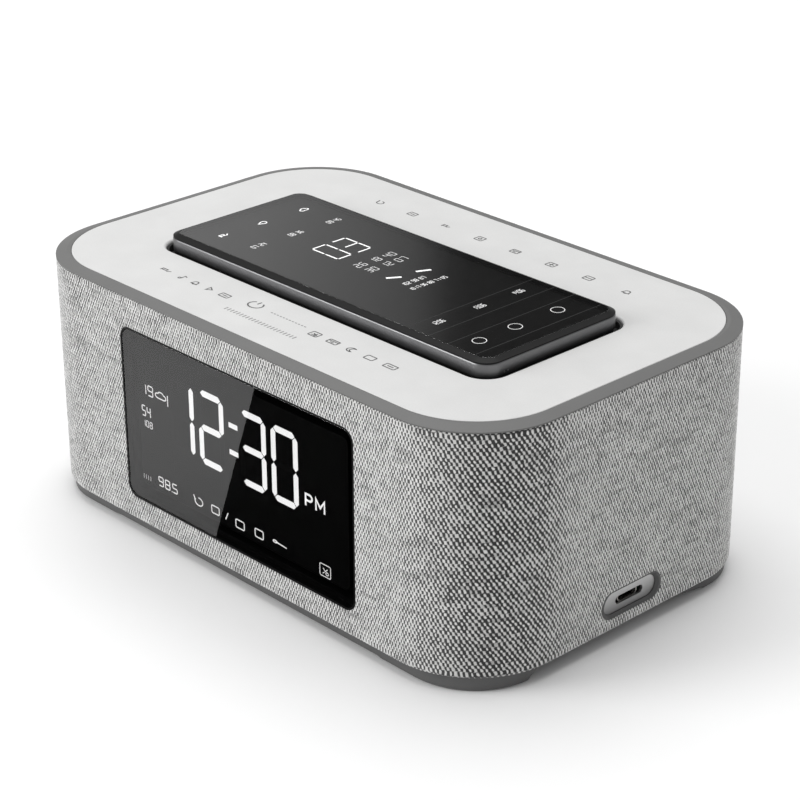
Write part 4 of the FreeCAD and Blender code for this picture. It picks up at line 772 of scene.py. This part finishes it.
def on_slate(x, y, out):
    """The slate's panel, read from its right-hand end; (0, 0) is its middle."""
    return (SLATE_MIDDLE.x - y, SLATE_MIDDLE.y + x, PANEL[1].z + 0.01 + out)


def on_glass(x, y, out):
    """The face of the slate's glass, read the same way."""
    return (SLATE_MIDDLE.x - y, SLATE_MIDDLE.y + x, GLASS[1].z + out)


def make_plate_marks():
    """The touch marks printed on the white top: a row of eight behind the well, and two groups of five
    and a ring in front of it, with a scale of fine ticks."""
    ink = printed("mark_grey", (0.1, 0.1, 0.1))
    strokes = []
    step, middle, back_row, front_row = 16.7, 3.8, 47.9, -47.3
    for index, icon in enumerate(("loop", "screen", "flag", "target", "sleeve", "plus", "minus", "bell")):
        strokes += shifted(ICONS[icon], middle + step * (index - 3.5), back_row, 1.75, 1.55)
    front_marks = ((-56.4, "flag", 2.5), (-47.5, "note", 1.7), (-40.9, "bell", 1.6), (-33.5, "play", 1.4),
                   (-25.9, "screen", 2.1), (17.9, "grid", 1.9), (26.3, "sleeve", 2.2), (34.7, "moon", 1.8),
                   (43.1, "square", 1.9), (52.1, "screen", 2.4))
    for x, icon, half in front_marks:
        strokes += shifted(ICONS[icon], x, front_row, half, 1.45)
    make_marks("touch_marks", strokes, 0.46, on_plate, 0.02, ink, "cabinet")
    ring = shifted(ICONS["power"], -13, front_row + 2.1, 3.2, 2.6)
    make_marks("power_mark", ring, 0.55, on_plate, 0.02, ink, "cabinet")
    pale = printed("mark_pale", (0.24, 0.24, 0.24))
    ticks = []
    for x in np.linspace(-17.5, 15.5, 23):
        ticks.append(([(x, front_row - 7.3), (x, front_row - 5.5)], False))
    for x in np.linspace(-4.9, 11, 12):
        ticks.append(([(x, front_row + 1.6), (x + 0.8, front_row + 1.6)], False))
    make_marks("scale_ticks", ticks, 0.5, on_plate, 0.02, pale, "cabinet")


def make_display_marks(materials):
    """The small lit marks around the clock's digits, all figures or plain icons."""
    bright = materials["segment_lit"]
    soft = lit("mark_lit", 1.15)
    faint = lit("mark_faint", 0.4)
    row = -22.3
    letter_p = ([(0, 0), (0, 1), (0.42, 1)] + arc(0.42, 0.74, 0.26, 80, -80, 8) + [(0.42, 0.48), (0, 0.48)])
    letter_m = [(0, 0), (0, 1), (0.4, 0.35), (0.8, 1), (0.8, 0)]
    bold = shifted([(letter_p, False)], 31.8, -3.5, 4.4, 4.1)
    bold += shifted([(letter_m, False)], 36.6, -3.5, 4.9, 4.1)
    make_marks("half_day_mark", bold, 0.75, on_display, 0.02, bright, "cabinet")
    lines = figures("19", -49.9, 8.0, 3.5, 2.5, 1.2)
    lines += shifted(ICONS["cloud"], -39.6, 9.8, 3.0, 1.9) + [([(-35.9, 7.3), (-35.9, 11.2)], False)]
    lines += figures("54", -49.9, -0.2, 3.6, 1.7, 0.9) + figures("98.5", -42.8, row - 1.5, 3.2, 2.3, 1.2)
    for x, up, icon, half, rise in ((-22.1, 0.2, "loop", 2.5, 1.8), (-13.2, 0.1, "square", 1.9, 1.6),
                                    (-7.4, 0.1, "slash", 1.5, 1.7), (-0.8, -0.5, "square", 2.1, 1.7),
                                    (8.7, -0.2, "square", 2.0, 1.7), (18.8, 0, "key", 3.3, 1.4)):
        lines += shifted(ICONS[icon], x, row + up, half, rise)
    make_marks("display_marks", lines, 0.42, on_display, 0.02, soft, "cabinet")
    fine = figures("108", -49.9, -4.0, 2.2, 1.2, 0.7) + shifted(ICONS["grid"], 40.3, row - 1.0, 2.5, 2.1)
    make_marks("display_fine_marks", fine, 0.28, on_display, 0.02, soft, "cabinet")
    dim = [([(x, row - 1.8), (x, row - 0.1)], False) for x in np.linspace(-50.9, -47.3, 4)]
    make_marks("display_dim_marks", dim, 0.3, on_display, 0.02, faint, "cabinet")


def make_slate_marks():
    """The slate's lit screen, read from its right-hand end, and the dividers across its glass."""
    bright = lit("slate_lit", 1.0)
    soft = lit("slate_soft", 0.62)
    clock = figures("03", -3.3, 19.5, 12.8, 6.1, 2.7)
    make_marks("slate_clock", clock, 0.62, on_slate, 0.02, bright, "slate")
    bars = [([(-3.3, -3.8), (1.0, -6.6)], False), ([(7.6, -6.4), (12.3, -8.7)], False)]
    make_marks("slate_bars", bars, 1.1, on_slate, 0.02, bright, "slate")
    lines = []
    for x, icon in zip((-16.2, 0.9, 19.6), ("flag", "drop", "cloud")):
        lines += shifted(ICONS[icon], x, 62.7, 1.9, 1.7)
    make_marks("slate_icons", lines, 0.42, on_slate, 0.02, bright, "slate")
    small = figures("26 18 40", -3.5, 9.0, 3.0, 1.6, 0.9) + figures("30 12 07", -3.5, 3.4, 3.0, 1.6, 0.9)
    for x, text in zip((-14.3, 2.2, 19.5), ("07 24", "08 36", "09 45")):
        small += figures(text, x - 2.6, 46.1, 2.2, 0.85, 0.45)
    for x, text in zip((-16.5, 1.5, 19.0), ("12.06", "13.06", "14.06")):
        small += figures(text, x - 2.4, -42.7, 2.2, 0.8, 0.45)
    small += figures("102 98 87", -3.5, -12.7, 1.9, 0.8, 0.45)
    small += figures("1017 96 88 71 05", -4.5, -17.2, 1.7, 0.72, 0.42)
    for x in (-17.5, -1.8, 17.3):
        small += shifted(ICONS["ring"], x, -60.6, 2.3, 2.2)
    make_marks("slate_figures", small, 0.26, on_slate, 0.02, soft, "slate")
    ink = printed("divider_black", (0.012, 0.012, 0.012))
    half = (GLASS[1].y - GLASS[0].y) / 2 - 0.6
    dividers = [([(-half, -at), (half, -at)], False) for at in (39.8, 49.3, 57.8, 69.3)]
    make_marks("slate_dividers", dividers, 0.22, on_glass, 0.01, ink, "slate")
    dots = [(arc(y, 0, 0.2, 0, 360, 10)[:-1], True) for y in (-25.0, -23.4)]

    def on_end(x, y, out):
        return (SLATE[1].x + out, x, SLATE[0].z + 2.2 + y)
    make_marks("slate_microphone_rings", dots, 0.22, on_end, 0.03, metal("ring_steel", (0.6, 0.6, 0.6)),
               "slate")


# ---------------------------------------------------------------- studio

SKY_LIGHT, OVERHEAD_WATTS, FRONT_WATTS = 0.47, 21, 26

def show_to_mirrors_only(card):
    card.visible_camera = False
    card.visible_diffuse = False
    card.visible_transmission = False
    card.visible_shadow = False


def make_card(name, centre, across, up, half_across, half_up, stops):
    """A card that only mirrors see. Its brightness runs along X through the given (X, light) stops."""
    centre, across, up = (Vector(v) for v in (centre, across, up))
    corners = [centre + across * a * half_across + up * b * half_up
               for a, b in ((-1, -1), (1, -1), (1, 1), (-1, 1))]
    mesh = bpy.data.meshes.new(name)
    mesh.from_pydata([tuple(c * MM) for c in corners], [], [(0, 1, 2, 3)])
    mesh.uv_layers.new(name="UVMap").data.foreach_set("uv", [0, 0, 1, 0, 1, 1, 0, 1])
    finish = Finish(name)
    place = finish.node("SeparateXYZ", Vector=finish.node("UVMap", uv_map="UVMap").outputs[0]).outputs[0]
    ramp = finish.node("ValToRGB")
    elements = ramp.color_ramp.elements
    elements.remove(elements[1])
    for index, (x, light) in enumerate(stops):
        at = (x - centre.x + half_across) / (2 * half_across)
        element = elements.new(at) if index else elements[0]
        element.position = at
        element.color = (light, light, light, 1)
    finish.feed(ramp.inputs[0], place)
    glow = finish.node("Emission", Color=ramp.outputs[0], Strength=1.0)
    finish.feed(finish.output.inputs["Surface"], glow.outputs[0])
    mesh.materials.append(finish.material)
    card = bpy.data.objects.new(name, mesh)
    bpy.context.scene.collection.objects.link(card)
    show_to_mirrors_only(card)


def make_lamp(name, place, aim, size, power):
    lamp = bpy.data.objects.new(name, bpy.data.lights.new(name, "AREA"))
    lamp.data.shape = "DISK"
    lamp.data.size = size * MM
    lamp.data.energy = power
    lamp.location = Vector(place) * MM
    lamp.rotation_mode = "QUATERNION"
    lamp.rotation_quaternion = (Vector(aim) - Vector(place)).to_track_quat("-Z", "Y")
    bpy.context.scene.collection.objects.link(lamp)
    return lamp


def make_studio():
    """A white floor, a pale sky, two large soft lamps, and the cards that the gloss mirrors."""
    mesh = bpy.data.meshes.new("floor")
    reach = 4.0
    mesh.from_pydata([(-reach, -reach, 0), (reach, -reach, 0), (reach, reach, 0), (-reach, reach, 0)], [],
                     [(0, 1, 2, 3)])
    finish = Finish("floor_white")
    finish.principled(Base_Color=(0.93, 0.93, 0.93), Roughness=0.9, Specular_IOR_Level=0.1)
    mesh.materials.append(finish.material)
    floor = bpy.data.objects.new("floor", mesh)
    bpy.context.scene.collection.objects.link(floor)

    world = bpy.data.worlds.new("studio")
    world.use_nodes = True
    world.node_tree.nodes["Background"].inputs["Color"].default_value = (1, 1, 1, 1)
    world.node_tree.nodes["Background"].inputs["Strength"].default_value = SKY_LIGHT
    bpy.context.scene.world = world

    make_lamp("overhead", (-250, 250, 1700), (0, 0, 0), 1900, OVERHEAD_WATTS)
    make_lamp("front_left", (-1200, -1700, 900), (0, 0, 40), 1300, FRONT_WATTS)

    make_card("slate_card", (-1080, 1000, 700), (1, 0, 0), (0, 0, 1), 420, 420,
              [(-1500, 0.9), (-1282, 0.72), (-1100, 0.45), (-1040, 0.33), (-986, 0.1), (-960, 0.05),
               (-900, 0.03)])
    make_flag()
    bpy.context.scene.view_settings.view_transform = "Standard"
    bpy.context.scene.view_settings.look = "None"


def make_flag():
    """A black card on the floor in front of the display. Its slanting edge is what shows in the lens as
    the line between the pale and the black half."""
    corners = [(-15, -70), (140, -70), (140, -330), (-230, -330), (-198, -262)]
    mesh = bpy.data.meshes.new("display_flag")
    mesh.from_pydata([(x * MM, y * MM, 0.6 * MM) for x, y in corners], [], [tuple(range(len(corners)))])
    finish = Finish("flag_black")
    finish.principled(Base_Color=(0.0, 0.0, 0.0), Roughness=1.0, Specular_IOR_Level=0.0)
    mesh.materials.append(finish.material)
    flag = bpy.data.objects.new("display_flag", mesh)
    bpy.context.scene.collection.objects.link(flag)
    show_to_mirrors_only(flag)


make_camera()
materials = paint_nodes()
make_wrap(woven("woven_fabric"))
make_plate_marks()
make_display_marks(materials)
make_slate_marks()
make_studio()
